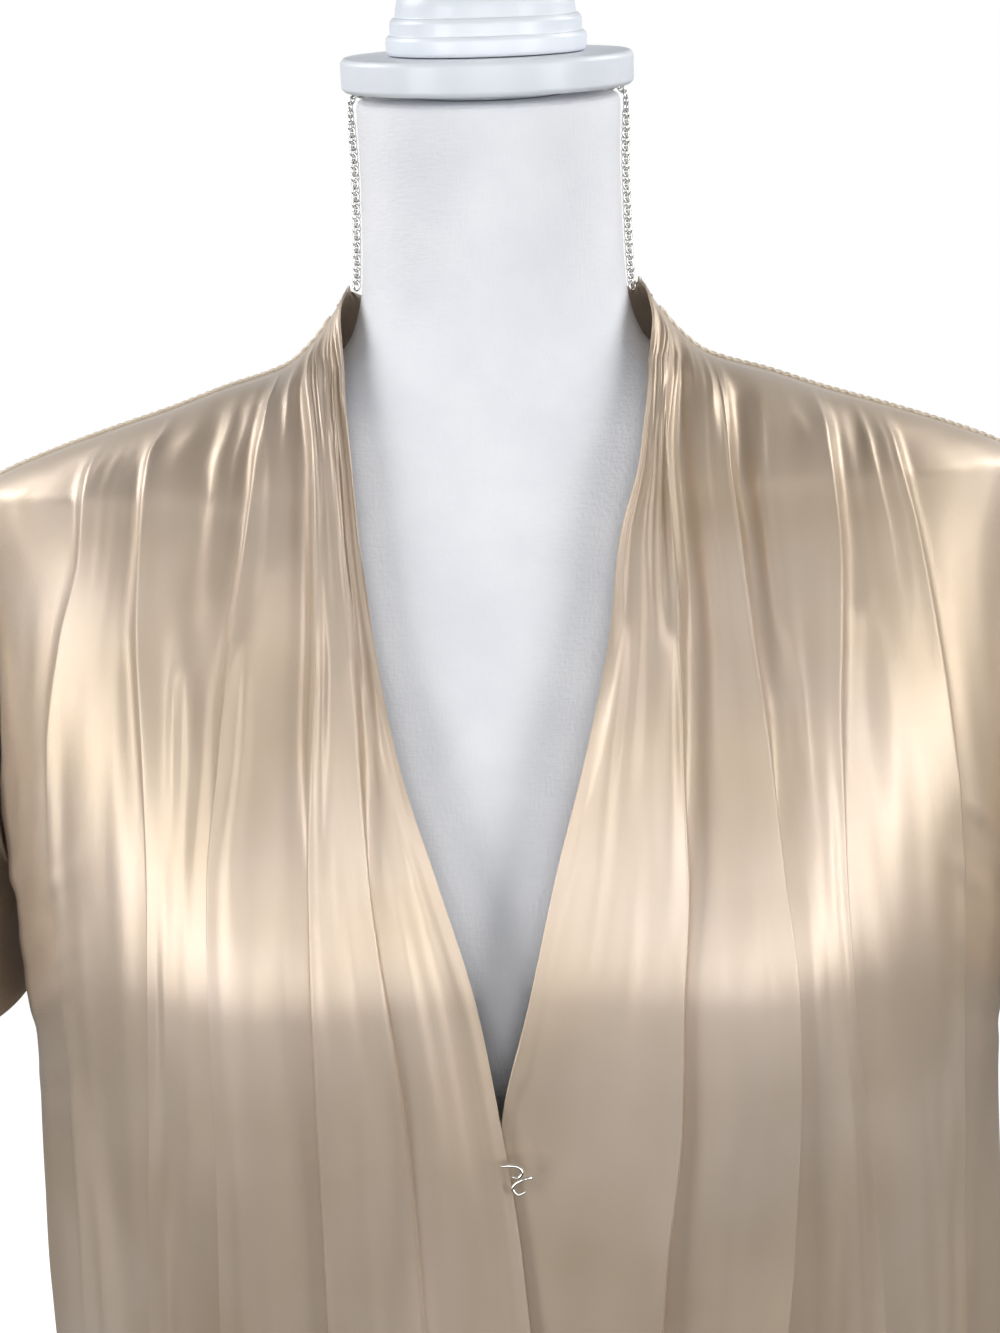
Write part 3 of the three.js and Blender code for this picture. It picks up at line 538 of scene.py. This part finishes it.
def edge_from_side(face, z):
    level = (z - ARMHOLE_MID) / ARMHOLE_HALF
    dip = ARMHOLE[face] * np.sqrt(np.clip(1 - level**2, 0, 1))
    return np.maximum(SEAM / 2, dip)


shoulder_z = curve(sorted((row[1], row[0]) for row in TOP if row[0] >= TIP_Z))
TIP_HALF = 206


def line_x(line):
    rows = sorted(zip(LEVELS, line["at"]))
    seam_top = float(shoulder_z(line["seam"]))
    if seam_top > LEVELS[0] + 1:
        rows.append((seam_top, line["seam"]))
    return curve(rows)


def fold_depth(fold):
    rows = sorted(zip(LEVELS, fold["depth"]))
    seam_top = float(shoulder_z(fold["seam"]))
    if seam_top > LEVELS[0] + 1:
        rows.append((seam_top, SEAM_PRESS * fold["depth"][0]))
    return curve(rows)


PLEAT = dict(climb=24, recess=11, edge=2.2, crest=0.85, trough=0.55)
TURN_UNDER = dict(reach=6.0, centre=3.4, width=2.1)  # the pleat's edge folds back under itself
SEAM_PRESS = 0.35  # the seam holds each fold to this share of its depth


def pleat(distance, depth, upper=0.0):
    """Height of a pleat over the cloth. Towards the shoulder its edge is a broad roll."""
    crest = PLEAT["crest"] * np.exp(np.minimum(0, distance) / PLEAT["climb"])
    trough = -PLEAT["trough"] * np.exp(-np.maximum(0, distance) / PLEAT["recess"])
    width = PLEAT["edge"] * mix(1.3, 2.9, upper)
    share = smooth(0, 1, (distance + mix(1.0, 1.8, upper)) / (width + mix(1.0, 1.8, upper)))
    return depth * mix(1, 1.25, upper) * (crest + (trough - crest) * share)


def spread(count):
    """Shares from 0 to 1, closer together at both ends."""
    t = np.linspace(0, 1, count, endpoint=False)
    return t - 0.78 * np.sin(2 * math.pi * t) / (2 * math.pi)


def columns_between(strips, columns):
    """For each column of cloth, the strip between two lines that it is in, and its share across."""
    strip = np.append(np.repeat(np.arange(strips), columns), strips - 1)
    share = np.append(np.tile(spread(columns), strips), 1.0)
    return strip, share


def between_lines(turns, strip, share):
    """Where each column stands between its two lines, row by row."""
    stack = np.stack(turns)
    row, column = np.indices(stack.shape[1:])
    return mix(stack[strip[None, :], row, column], stack[strip[None, :] + 1, row, column], share[None, :])


ripple_noise = Noise(3)
crease_noise = Noise(11)
LAP = 1.9  # how far the right front stands over the left one
FRONT_ARC, BACK_ARC = 120, 110  # mean radii that turn an angle into a length for the noise

# heights, distances from the centre line, or shares of a column, between which a thing sets in
UPPER = (680, 770)
HEM_GATHERS = (490, 432)
HEM_FADE = (0.985, 1)
COLUMN_END = (0.93, 1)
SEAM_SETTLES = (0.005, 0.06)
FRONT_FADE, BACK_FADE = (0, 0.035), (0, 0.1)
LOWER_RIPPLES, UPPER_RIPPLES = (560, 660), (700, 800)
NECK_CREASES, NECK_CREASES_REACH = (740, 840), (95, 60)
NECK_GATHERS, NECK_GATHERS_REACH = (690, 800), (155, 110)
UNDERARM_REACH, UNDERARM_BOTTOM, UNDERARM_TOP = (150, 178), (590, 650), (760, 700)


def hem_gathers(across, pitch, wander, noise_rows, z, row_share):
    """Close soft gathers that the hem takes up."""
    waves = np.sin(across * pitch + wander * ripple_noise(across / 23, noise_rows[0])) * 1.3
    gathers = waves + ripple_noise(across / 5.5, noise_rows[1])
    return gathers * smooth(*HEM_GATHERS, z) * (1 - smooth(*HEM_FADE, row_share))


def front_points(side, edge, folds, overlap, rows=185, columns=34):
    lines = [edge, *folds]
    k, share = columns_between(len(lines), columns)
    row_share = (np.linspace(0, 1, rows) ** 1.12)[:, None]
    seams = np.array([line["seam"] for line in lines] + [TIP_HALF], float)
    top = shoulder_z(mix(seams[k], seams[k + 1], share))
    z = mix(top[None, :], HEM_Z, row_share)
    outermost = top_front.turn_from_side("front", edge_from_side("front", z), z)
    turns = [np.minimum(outermost, top_front.turn_at_x(line_x(line)(z), z)) for line in lines]
    turns.append(outermost)
    # every column leaves the shoulder seam straight down, then finds its place between two lines
    under_seam = top_front.turn_at_x(mix(seams[k], seams[k + 1], share)[None, :], z)
    settled = smooth(*SEAM_SETTLES, row_share)
    turn = mix(np.minimum(outermost, under_seam), between_lines(turns, k, share), settled)
    turn[0] = outermost[0]
    stretch = np.linalg.norm(top_front.point(turn + 0.01, z) - top_front.point(turn, z), axis=-1) / 0.01
    lift = np.zeros_like(z)
    shift = np.zeros_like(z)
    upper = smooth(*UPPER, z)
    for i, fold in enumerate(folds):
        distance = (turn - turns[i + 1]) * stretch * fold["facing"]
        depth = fold_depth(fold)(z)
        lift += pleat(distance, depth, upper)
        under = np.exp(-((distance - TURN_UNDER["centre"]) / TURN_UNDER["width"]) ** 2)
        reach = fold["facing"] * TURN_UNDER["reach"]
        shift -= reach * under * np.clip(depth / 5, 0, 1.1) * (1 - 0.7 * upper)
    fade = smooth(*FRONT_FADE, row_share) * (1 - smooth(*COLUMN_END, row_share))
    lift *= fade
    shift *= smooth(0.03, 0.1, row_share) * (1 - smooth(0.88, 0.97, row_share))
    shift *= smooth(0, 6, (outermost - turn) * stretch) * smooth(0, 4, (turn - turns[0]) * stretch)
    turn = turn + shift / stretch
    point = top_front.point(turn, z)
    normal = top_front.normal(turn, z)
    # long soft ripples that run with the pleats, and small creases near the neck and under the arm
    run = np.broadcast_to(k + share, z.shape)
    ripple = ripple_noise(run * 3.1 + 7 * side, z / 95) * 0.9 + ripple_noise(run * 7.3, z / 60 + 9) * 0.45
    lift += ripple * mix(1.9, 1, smooth(*LOWER_RIPPLES, z)) * (1 - 0.6 * smooth(*UPPER_RIPPLES, z)) * fade
    creases = crease_noise(run * 14 + 20 * side, z / 26) * 0.35
    lift += creases * smooth(*NECK_CREASES, z) * smooth(*NECK_CREASES_REACH, point[..., 0]) * fade
    gathered = 1 - np.abs(ripple_noise(run * 4.6 + 9 * side, z / 75)) * 2
    lift += gathered * 1.6 * smooth(*NECK_GATHERS, z) * smooth(*NECK_GATHERS_REACH, point[..., 0]) * fade
    slant = crease_noise((point[..., 0] + 0.9 * z) / 9.0 + 31 * side, (z - point[..., 0]) / 60)
    lift += (slant * 1.1 * smooth(*UNDERARM_REACH, point[..., 0]) * smooth(*UNDERARM_BOTTOM, z)
             * smooth(*UNDERARM_TOP, z))
    lift += hem_gathers(turn * FRONT_ARC, 0.55, 2.2, (5, 2), z, row_share)
    # a narrow turned edge along the neckline
    from_edge = (turn - turns[0]) * stretch
    lift += 0.45 * smooth(5.2, 4.2, from_edge)
    lift += overlap * smooth(45, 5, point[..., 0]) * smooth(660, 600, z)
    lift += max(0, overlap) * 0.5 * smooth(9, 0, from_edge) * smooth(600, 560, z)
    point = point + normal * lift[..., None]
    point[..., 0] *= side
    point[..., 1] = np.minimum(point[..., 1], -SEAM / 2)
    point[..., 2] = np.maximum(point[..., 2], HEM_Z)
    return point


def back_points(rows=150, columns=30):
    lines = [BACK_EDGE, *BACK_FOLDS]
    seams = np.array([0, *[line["seam"] for line in lines], TIP_HALF], float)
    k, share = columns_between(len(lines) + 1, columns)
    row_share = np.linspace(0, 1, rows)[:, None]
    across = mix(seams[k], seams[k + 1], share)
    top = shoulder_z(np.maximum(across, seams[1])) - np.where(k == 0, BACK_NECK_DIP * (1 - share**2), 0)
    z = mix(top[None, :], HEM_Z, row_share)
    outermost = top_back.turn_from_side("back", edge_from_side("back", z), z)
    turns = [np.zeros_like(z)]
    turns += [np.minimum(outermost, top_back.turn_at_x(line_x(line)(z), z)) for line in lines]
    turns.append(outermost)
    turn = between_lines(turns, k, share)
    turn[0, k > 0] = outermost[0, k > 0]
    halves = []
    for side in (1, -1):
        lift = np.zeros_like(z)
        reach = top_back.back(z)
        for i, fold in enumerate(BACK_FOLDS):
            lift += pleat((turn - turns[i + 2]) * reach, fold_depth(fold)(z))
        fade = smooth(*BACK_FADE, row_share) * (1 - smooth(*COLUMN_END, row_share))
        run = side * turn * BACK_ARC
        lift = lift * fade
        ripple = ripple_noise(run / 33 + 40, z / 120) * 2.0 + ripple_noise(run / 13, z / 75 + 4) * 0.9
        lift += ripple * fade
        lift += hem_gathers(run, 0.5, 2.4, (8, 12), z, row_share)
        around = math.pi - side * turn
        point = top_back.point(around, z) + top_back.normal(around, z) * lift[..., None]
        point[..., 1] = np.maximum(point[..., 1], SEAM / 2)
        point[..., 2] = np.maximum(point[..., 2], HEM_Z)
        halves.append(point)
    left, right = halves
    return np.concatenate([right[:, :0:-1], left], axis=1)


def build_top():
    right = front_points(-1, RIGHT_EDGE, RIGHT_FOLDS, LAP)
    left = front_points(1, LEFT_EDGE, LEFT_FOLDS, -LAP, columns=40)
    back = back_points()
    pieces = [
        (shell("satin_front_right", right, SATIN, inwards=-1), "front_right", right),
        (shell("satin_front_left", left, SATIN, flip=True), "front_left", left),
        (shell("satin_back", back, SATIN, inwards=-1), "back", back),
    ]
    for piece, node, points in pieces:
        place(piece, "satin", node)


# ---------- sleeves ----------
SLEEVE = dict(hem_z=633, hem_x=226, half_x=25, half_y=72, rise=3, gap=1.5, drop=1)
HEM_STEP = (0.955, 0.965)  # share of the way to an edge where its turned hem begins


def armhole_point(around):
    s, c = np.sin(around), np.cos(around)
    z = ARMHOLE_MID + ARMHOLE_HALF * c
    out = np.zeros((*np.shape(around), 3))
    for face, chosen in (("front", s >= 0), ("back", s < 0)):
        from_side = np.abs(s) * ARMHOLE[face]
        turn = top_back.turn_from_side(face, from_side, z)
        x = top_back.half(z) * power(np.sin(turn), 2 / top_back.square(z))
        y = -from_side if face == "front" else from_side
        value = np.stack([x + SLEEVE["gap"], y, z - SLEEVE["drop"] * (1 - smooth(-1, 0.2, c))], -1)
        out = np.where(chosen[..., None], value, out)
    return out


def sleeve_points(side, rings=70, steps=150):
    share = np.linspace(0, 1, rings)[:, None, None]
    around = full_turn(steps)[None, :]
    s, c = np.sin(around), np.cos(around)
    start = armhole_point(around)
    end = np.stack([SLEEVE["hem_x"] + SLEEVE["half_x"] * power(c, 0.9), -SLEEVE["half_y"] * power(s, 0.9),
                    SLEEVE["hem_z"] + SLEEVE["rise"] * s], -1)
    leave = np.stack([np.ones_like(s), -0.3 * s, -0.25 * np.ones_like(s)], -1) * (46 + 34 * c)[..., None]
    arrive = np.stack([0 * s, 0 * s, -np.ones_like(s)], -1) * (105 + 55 * c)[..., None]
    t2, t3 = share**2, share**3
    point = (start * (2 * t3 - 3 * t2 + 1) + leave * (t3 - 2 * t2 + share)
             + end * (3 * t2 - 2 * t3) + arrive * (t3 - t2))
    flat_share = share[..., 0]
    # slanting drag creases from the underarm, and soft waves in the fall of the sleeve
    low = smooth(0.2, -0.7, c)
    drag = ripple_noise(around * 1.9 + flat_share * 5.5 + 4 * side, flat_share * 1.6 + around * 0.4)
    waves = ripple_noise(around * 1.3 + 11, flat_share * 1.2 + 5 * side) * 1.6
    lift = (drag * mix(1.0, 2.6, low) + waves) * smooth(0.02, 0.25, flat_share) * (1 - 0.75 * flat_share)
    lift -= 1.0 * smooth(0.0, 0.03, flat_share) * smooth(0.09, 0.04, flat_share)
    lift += 0.4 * smooth(*HEM_STEP, flat_share)
    point = point + grid_normals(point, True) * lift[..., None] * -1
    point[..., 0] *= side
    return point


def stitches(name, points, normals, length=2.4, gap=0.7, radius=0.22):
    """A line of thread stitches that lie on the cloth, half sunk at their ends."""
    steps = np.linalg.norm(np.diff(points, axis=0), axis=1)
    places = np.concatenate([[0], np.cumsum(steps)])
    parts = []
    start = 0.0
    while start + length < places[-1]:
        at = np.linspace(start, start + length, 4)
        on_path = np.stack([np.interp(at, places, points[:, k]) for k in range(3)], 1)
        outward = np.stack([np.interp(at, places, normals[:, k]) for k in range(3)], 1)
        height = np.array([-0.1, 0.22, 0.22, -0.1])[:, None]
        parts.append(tube(on_path + outward * height, radius, 6))
        start += length + gap
    return joined(name, parts, THREAD)


def build_sleeves():
    for side, node in ((-1, "sleeve_right"), (1, "sleeve_left")):
        points = sleeve_points(side)
        if side < 0:
            piece = shell("satin_" + node, points, SATIN, wrapped=True, inwards=-1)
        else:
            piece = shell("satin_" + node, points, SATIN, wrapped=True, flip=True)
        place(piece, "satin", node)
        normals = grid_normals(points, True) * (1 if side < 0 else -1)
        ring = int(round(HEM_STEP[0] * (len(points) - 1)))
        loop = np.concatenate([points[ring], points[ring, :1]])
        outward = np.concatenate([normals[ring], normals[ring, :1]])
        line = place(stitches("hem_stitch_" + node, loop, outward), "satin")


# ---------- brief ----------
def brief_points(face, legs, columns=90):
    z = np.concatenate([np.linspace(HEM_Z - SEAM, SIDE_END_Z, 42, endpoint=False),
                        np.linspace(SIDE_END_Z, 300, 60, endpoint=False),
                        np.linspace(300, 150, 60)])[:, None]
    at_seam = brief_body.turn_from_side(face, SEAM / 2, z)
    leg_turn = brief_body.turn_at_x(curve(legs)(z), z)
    outermost = np.where(z >= SIDE_END_Z, at_seam, np.minimum(at_seam, leg_turn))
    turn = outermost * np.linspace(-1, 1, columns)[None, :]
    around = turn if face == "front" else math.pi - turn
    point = brief_body.point(around, z)
    soft = ripple_noise(point[..., 0] / 30 + (3 if face == "front" else 17), z / 60)
    lift = soft * 0.5 + 0.35 * smooth(*HEM_STEP, np.abs(turn / outermost)) * smooth(344, 340, z)
    point = point + brief_body.normal(around, z) * lift[..., None]
    if face == "front":
        point[..., 1] = np.minimum(point[..., 1], -SEAM / 2)
    else:
        point[..., 1] = np.maximum(point[..., 1], SEAM / 2)
    return point


def build_brief():
    front = brief_points("front", LEG_FRONT)
    back = brief_points("back", LEG_BACK)
    piece = shell("knit_brief_front", front, KNIT, thickness=KNIT_WALL, flip=True)
    place(piece, "knit", "brief_front")
    piece = shell("knit_brief_back", back, KNIT, inwards=-1, thickness=KNIT_WALL)
    place(piece, "knit", "brief_back")


# ---------- metal parts ----------
def build_snaps():
    for k in (1, 2, 3):
        for kind in ("cap", "socket"):
            node = f"snap_{kind}_{k}"
            low, high = (np.array(corner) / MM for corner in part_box(node))
            centre = (low + high) / 2
            radius = (high[0] - low[0]) / 2
            height = high[1] - low[1]
            if kind == "cap":
                profile = [(0, 0), (radius, 0), (radius, height * 0.45), (radius * 0.86, height * 0.75),
                           (radius * 0.55, height * 0.72), (radius * 0.4, height), (0, height)]
            else:
                profile = [(0, 0), (radius, 0), (radius, height * 0.6), (radius * 0.8, height),
                           (radius * 0.55, height), (radius * 0.5, height * 0.4), (0, height * 0.4)]
            matrix = np.eye(4)
            matrix[:3, :3] = [[1, 0, 0], [0, 0, -1], [0, 1, 0]]
            matrix[:3, 3] = [centre[0], high[1], centre[2]]
            piece = lathe(node + "_fine", rounded(profile, 0.3), SILVER, 48, matrix)
            place(piece, "silver", node)


FASTENING = np.array([-2.5, -131.8, 605])
FASTENING_WIRE = 0.58
HOOK = [
    (-5, 0, 1), (-2, -0.2, 1.2), (1, -0.4, 0.6), (2.2, -0.6, -1.5), (0.8, -0.4, -3.4), (-1.4, 0, -3.2),
]
EYE = [
    (5.5, 1.4, -4.2), (3.4, 0.6, -4.4), (0.3, 1.2, -6), (-1.4, 1.6, -8.4), (0.6, 1.4, -10.6),
    (3, 1.4, -9.6),
]


def build_fastening():
    for node, points in (("hook", HOOK), ("eye", EYE)):
        path = through(np.array(points) + FASTENING, 12)
        v, f = tube(path, FASTENING_WIRE, 16)
        place(make_object(node + "_fine", v, f, SILVER), "silver", node)


def cap_matrix():
    a = NECK_TOP["tilt"]
    matrix = np.eye(4)
    matrix[:3, :3] = [[1, 0, 0], [0, math.cos(a), -math.sin(a)], [0, math.sin(a), math.cos(a)]]
    matrix[:3, 3] = [0, NECK_TOP["y"], NECK_TOP["z"]]
    return matrix


SPIGOT = 28  # radius of the cap's underside that stands on the neck
CAP_DISC = [
    (0, 0.4), (SPIGOT, 0.4), (SPIGOT, 3.2), (54, 3.2), (55.4, 4.6), (55.4, 14.2), (54, 15.7), (0, 15.7),
]
CAP_KNOB = [
    (0, 16.1), (37.2, 16.1), (37.9, 17.2), (37.9, 21.9), (37, 23.1), (36.2, 23.3), (36.2, 28), (35, 29.4),
    (34.2, 29.6), (33.4, 35), (30, 42), (23.5, 48), (15, 51.4), (8.5, 52.6), (9.6, 56), (11, 60),
    (9.6, 64.4), (5.6, 67.4), (0, 68.4),
]
CHAIN = dict(clear=2.0, y=-4.0, level=1.75, behind=SPIGOT + 1.8,
             heights=(908, 911, 916, 923, 932, 945, 958, 969, 975))
LINK = dict(pitch=2.4, length=4.5, width=3.8, wire=0.48, sides=18, tilt=55, tilt_under_disc=22)


def build_chain():
    """Twisted curb chain: oval wire links, each turned a little from the last."""
    rise = [(float(form_body.half(z)) + CHAIN["clear"], CHAIN["y"], z) for z in CHAIN["heights"]]
    rim = float(form_body.half(979)) + CHAIN["clear"]
    level, spigot = CHAIN["level"], CHAIN["behind"]
    bend = [
        (rim, 1, -4), (rim - 0.2, 1.8, -1), (rim - 1.7, 2.6, 0.9), (rim - 4.6, 3.5, level), (42, 6, level),
    ]
    behind = []
    for degrees in (25, 45, 70):
        a = math.radians(degrees)
        r = mix(37, spigot, min(1, degrees / 60))
        behind.append((r * math.cos(a), r * math.sin(a), level))
    matrix = cap_matrix()
    on_neck = np.array([*bend, *behind, (0, spigot, level)]) @ matrix[:3, :3].T + matrix[:3, 3]
    half = np.vstack([rise, on_neck])
    mirrored = half[:-1][::-1] * [-1, 1, 1]
    path = through(np.vstack([half, mirrored]), 24)
    places = np.concatenate([[0], np.cumsum(np.linalg.norm(np.diff(path, axis=0), axis=1))])
    tangent, side, other = frames_along(path)
    lying = smooth(NECK_TOP["z"] - 12, NECK_TOP["z"] - 4, path[:, 2])  # flatter under the disc
    wire = LINK["wire"]
    half_length, half_width = LINK["length"] / 2 - wire, LINK["width"] / 2 - wire
    u = full_turn(LINK["sides"])[:, None]
    parts = []
    for i in range(int((places[-1] - LINK["length"]) / LINK["pitch"])):
        at = LINK["length"] / 2 + i * LINK["pitch"]
        pos, t, s, o = (np.array([np.interp(at, places, v[:, k]) for k in range(3)])
                        for v in (path, tangent, side, other))
        tilt = mix(LINK["tilt"], LINK["tilt_under_disc"], float(np.interp(at, places, lying)))
        a = math.radians(tilt if i % 2 else -tilt)
        wide = s * math.cos(a) + o * math.sin(a)
        loop = pos + t * np.cos(u) * half_length + wide * np.sin(u) * half_width
        parts.append(ring_tube(loop, np.cross(t, wide), wire, 6))
    place(joined("neck_chain_fine", parts, SILVER), "silver", "neck_chain")


def ring_tube(loop, axis, radius, sides):
    """A closed ring of wire along a flat loop."""
    tangent = np.roll(loop, -1, 0) - np.roll(loop, 1, 0)
    tangent /= np.linalg.norm(tangent, axis=1, keepdims=True)
    axis = axis / np.linalg.norm(axis)
    out = np.cross(tangent, axis)
    turns = full_turn(sides)
    rings = loop[:, None] + radius * (np.cos(turns)[None, :, None] * out[:, None]
                                      + np.sin(turns)[None, :, None] * axis[None, None])
    return rings.reshape(-1, 3), ring_faces(len(loop), sides, closed=True)


# ---------- dress form and stand ----------
def build_form():
    z = np.concatenate([[215, 215.3, 216.5, 219], np.linspace(223, 884, 190), np.linspace(887, 976, 40),
                        [978, 979, 980, 981, 981.6, 982, 982.4, 982.7, 983]])[:, None]
    turn = full_turn(256)[None, :]
    point = form_body.point(turn, z)
    point[..., 2] += (point[..., 1] - NECK_TOP["y"]) * math.tan(NECK_TOP["tilt"]) * smooth(925, 976, z)
    vertices = [*point.reshape(-1, 3), point[0].mean(0), point[-1].mean(0)]
    faces = capped_rings(*point.shape[:2])
    place(make_object("form_torso_fine", vertices, faces, LINEN), "linen", "form_torso")
    matrix = cap_matrix()
    flange = [(0, 190), (20, 190), (24, 194), (24, 200), (44, 206), (44, 214.6), (0, 214.6)]
    pole = [(0, 15.4), (26, 15.4), (26, 19), (17, 26), (13.5, 34), (13.5, 189.6), (0, 189.6)]
    base = [(0, 0), (147, 0), (150, 3), (150, 9), (146, 12), (60, 15), (0, 15)]
    turned = [
        ("neck_cap_disc", CAP_DISC, 1.2, PAINT, "painted_wood", 128, matrix),
        ("neck_cap_knob", CAP_KNOB, 1.6, PAINT, "painted_wood", 112, matrix),
        ("form_flange", flange, 1.5, PAINT, "painted_wood", 96, None),
        ("stand_pole", pole, 3, STEEL, "painted_steel", 96, None),
        ("stand_base", base, 2, STEEL, "painted_steel", 160, None),
    ]
    for node, profile, corner, material, slot, segments, at in turned:
        place(lathe(node + "_fine", rounded(profile, corner), material, segments, at), slot, node)


# ---------- shoulder seam ----------
ROPE = dict(radius=0.75, swell=0.22, lay=3.2, sides=10)


def build_shoulder_seams():
    """The overlocked seam shows as a rope-like line along each shoulder."""
    for side in (-1, 1):
        x = np.linspace(64, 205, 420)
        z = shoulder_z(x) + 0.25
        path = np.stack([side * x, np.zeros_like(x), z], 1)
        twist = 2 * full_turn(ROPE["sides"])[None, :] - 2 * math.pi * x[:, None] / ROPE["lay"]
        v, f = tube(path, ROPE["radius"] + ROPE["swell"] * np.cos(twist), ROPE["sides"])
        name = "shoulder_seam_right" if side < 0 else "shoulder_seam_left"
        place(make_object(name, v, f, THREAD), "satin")


# ---------- camera, floor and light ----------
CAMERA = dict(y=-850, z=925, pitch=10.9, roll=1.9, yaw=0.173, focal=2156, image_height=1333, sensor=36)


def build_camera():
    data = bpy.data.cameras.new("camera")
    data.sensor_fit = "VERTICAL"
    data.sensor_height = CAMERA["sensor"]
    data.lens = CAMERA["sensor"] * CAMERA["focal"] / CAMERA["image_height"]
    data.clip_start = 0.05
    camera = bpy.data.objects.new("camera", data)
    bpy.context.scene.collection.objects.link(camera)
    pitch, roll, yaw = (math.radians(CAMERA[k]) for k in ("pitch", "roll", "yaw"))
    forward = np.array([-math.sin(yaw), math.cos(yaw) * math.cos(pitch), -math.cos(yaw) * math.sin(pitch)])
    right = np.cross(forward, [0, 0, 1.0])
    right /= np.linalg.norm(right)
    up = np.cross(right, forward)
    right, up = (right * math.cos(roll) - up * math.sin(roll), right * math.sin(roll) + up * math.cos(roll))
    matrix = np.eye(4)
    matrix[:3, 0], matrix[:3, 1], matrix[:3, 2] = right, up, -forward
    matrix[:3, 3] = np.array([0, CAMERA["y"], CAMERA["z"]]) * MM
    camera.matrix_world = Matrix(matrix.tolist())
    bpy.context.scene.camera = camera


def area_light(name, at, towards, size, power_w, spread_degrees):
    data = bpy.data.lights.new(name, "AREA")
    data.shape = "RECTANGLE"
    data.size, data.size_y = size
    data.energy = power_w
    data.spread = math.radians(spread_degrees)
    light = bpy.data.objects.new(name, data)
    light.location = at
    direction = np.array(towards, float) - np.array(at, float)
    light.rotation_euler = Vector(direction).to_track_quat("-Z", "Y").to_euler()
    bpy.context.scene.collection.objects.link(light)


FLOOR_Z = -0.0005  # just under the base
WHITE = (1, 1, 1, 1)
# the room's own light by height: a dark floor, a bright band at eye level and a dimmer ceiling
ROOM = [(0.28, 0.04), (0.34, 0.12), (0.40, 0.45), (0.48, 0.85), (0.58, 0.9), (0.76, 0.42), (1.0, 0.3)]


def build_floor():
    bpy.ops.mesh.primitive_plane_add(size=12, location=(0, 0, FLOOR_Z))
    floor = bpy.context.object
    floor.name = "floor"
    material, _, _, shader = new_material("floor", Roughness=0.9, Emission_Strength=0.8)
    shader.inputs["Base Color"].default_value = (0.86, 0.86, 0.86, 1)
    shader.inputs["Emission Color"].default_value = WHITE
    floor.data.materials.append(material)
    floor.visible_diffuse = False
    floor.visible_glossy = False


def build_world():
    """The camera sees plain white. The object is lit by a room that is darker at its sides."""
    world = bpy.data.worlds.new("studio")
    bpy.context.scene.world = world
    world.use_nodes = True
    nodes, links = world.node_tree.nodes, world.node_tree.links
    nodes.clear()
    seen = add_node(nodes, "ShaderNodeBackground", Color=WHITE, Strength=1.0)
    ambient = nodes.new("ShaderNodeBackground")
    coordinates = nodes.new("ShaderNodeTexCoord")
    split = nodes.new("ShaderNodeSeparateXYZ")
    links.new(coordinates.outputs["Generated"], split.inputs[0])
    ramp = nodes.new("ShaderNodeValToRGB")
    while len(ramp.color_ramp.elements) < len(ROOM):
        ramp.color_ramp.elements.new(0.5)
    for element, (position, grey) in zip(ramp.color_ramp.elements, ROOM):
        element.position = position
        element.color = (grey, grey * 1.01, grey * 1.04, 1)
    height = math_node(nodes, links, "MULTIPLY_ADD", split.outputs["Z"], 0.5, 0.5)
    links.new(height, ramp.inputs[0])
    depth = math_node(nodes, links, "MULTIPLY", split.outputs["Y"], split.outputs["Y"])
    links.new(math_node(nodes, links, "MULTIPLY_ADD", depth, 0.75, 0.25), ambient.inputs["Strength"])
    links.new(ramp.outputs["Color"], ambient.inputs["Color"])
    path = nodes.new("ShaderNodeLightPath")
    choose = nodes.new("ShaderNodeMixShader")
    links.new(path.outputs["Is Camera Ray"], choose.inputs[0])
    links.new(ambient.outputs[0], choose.inputs[1])
    links.new(seen.outputs[0], choose.inputs[2])
    links.new(choose.outputs[0], nodes.new("ShaderNodeOutputWorld").inputs[0])


def build_lights():
    area_light("front", (0.0, -2.6, 0.85), (0, 0, 0.72), (1.4, 1.5), 4.0, 80)
    for side in (-1, 1):
        area_light(f"window_{side}", (1.9 * side, -1.5, 0.85), (0.1 * side, 0, 0.7), (0.9, 1.5), 6.2, 80)
        area_light(f"shoulder_{side}", (1.5 * side, 0.5, 1.9), (0.1 * side, 0, 0.8), (1.0, 1.0), 5, 90)


bpy.context.scene.view_settings.view_transform = "Standard"
build_camera()
build_floor()
build_world()
build_lights()
build_top()
build_sleeves()
build_brief()
build_snaps()
build_fastening()
build_chain()
build_form()
build_shoulder_seams()
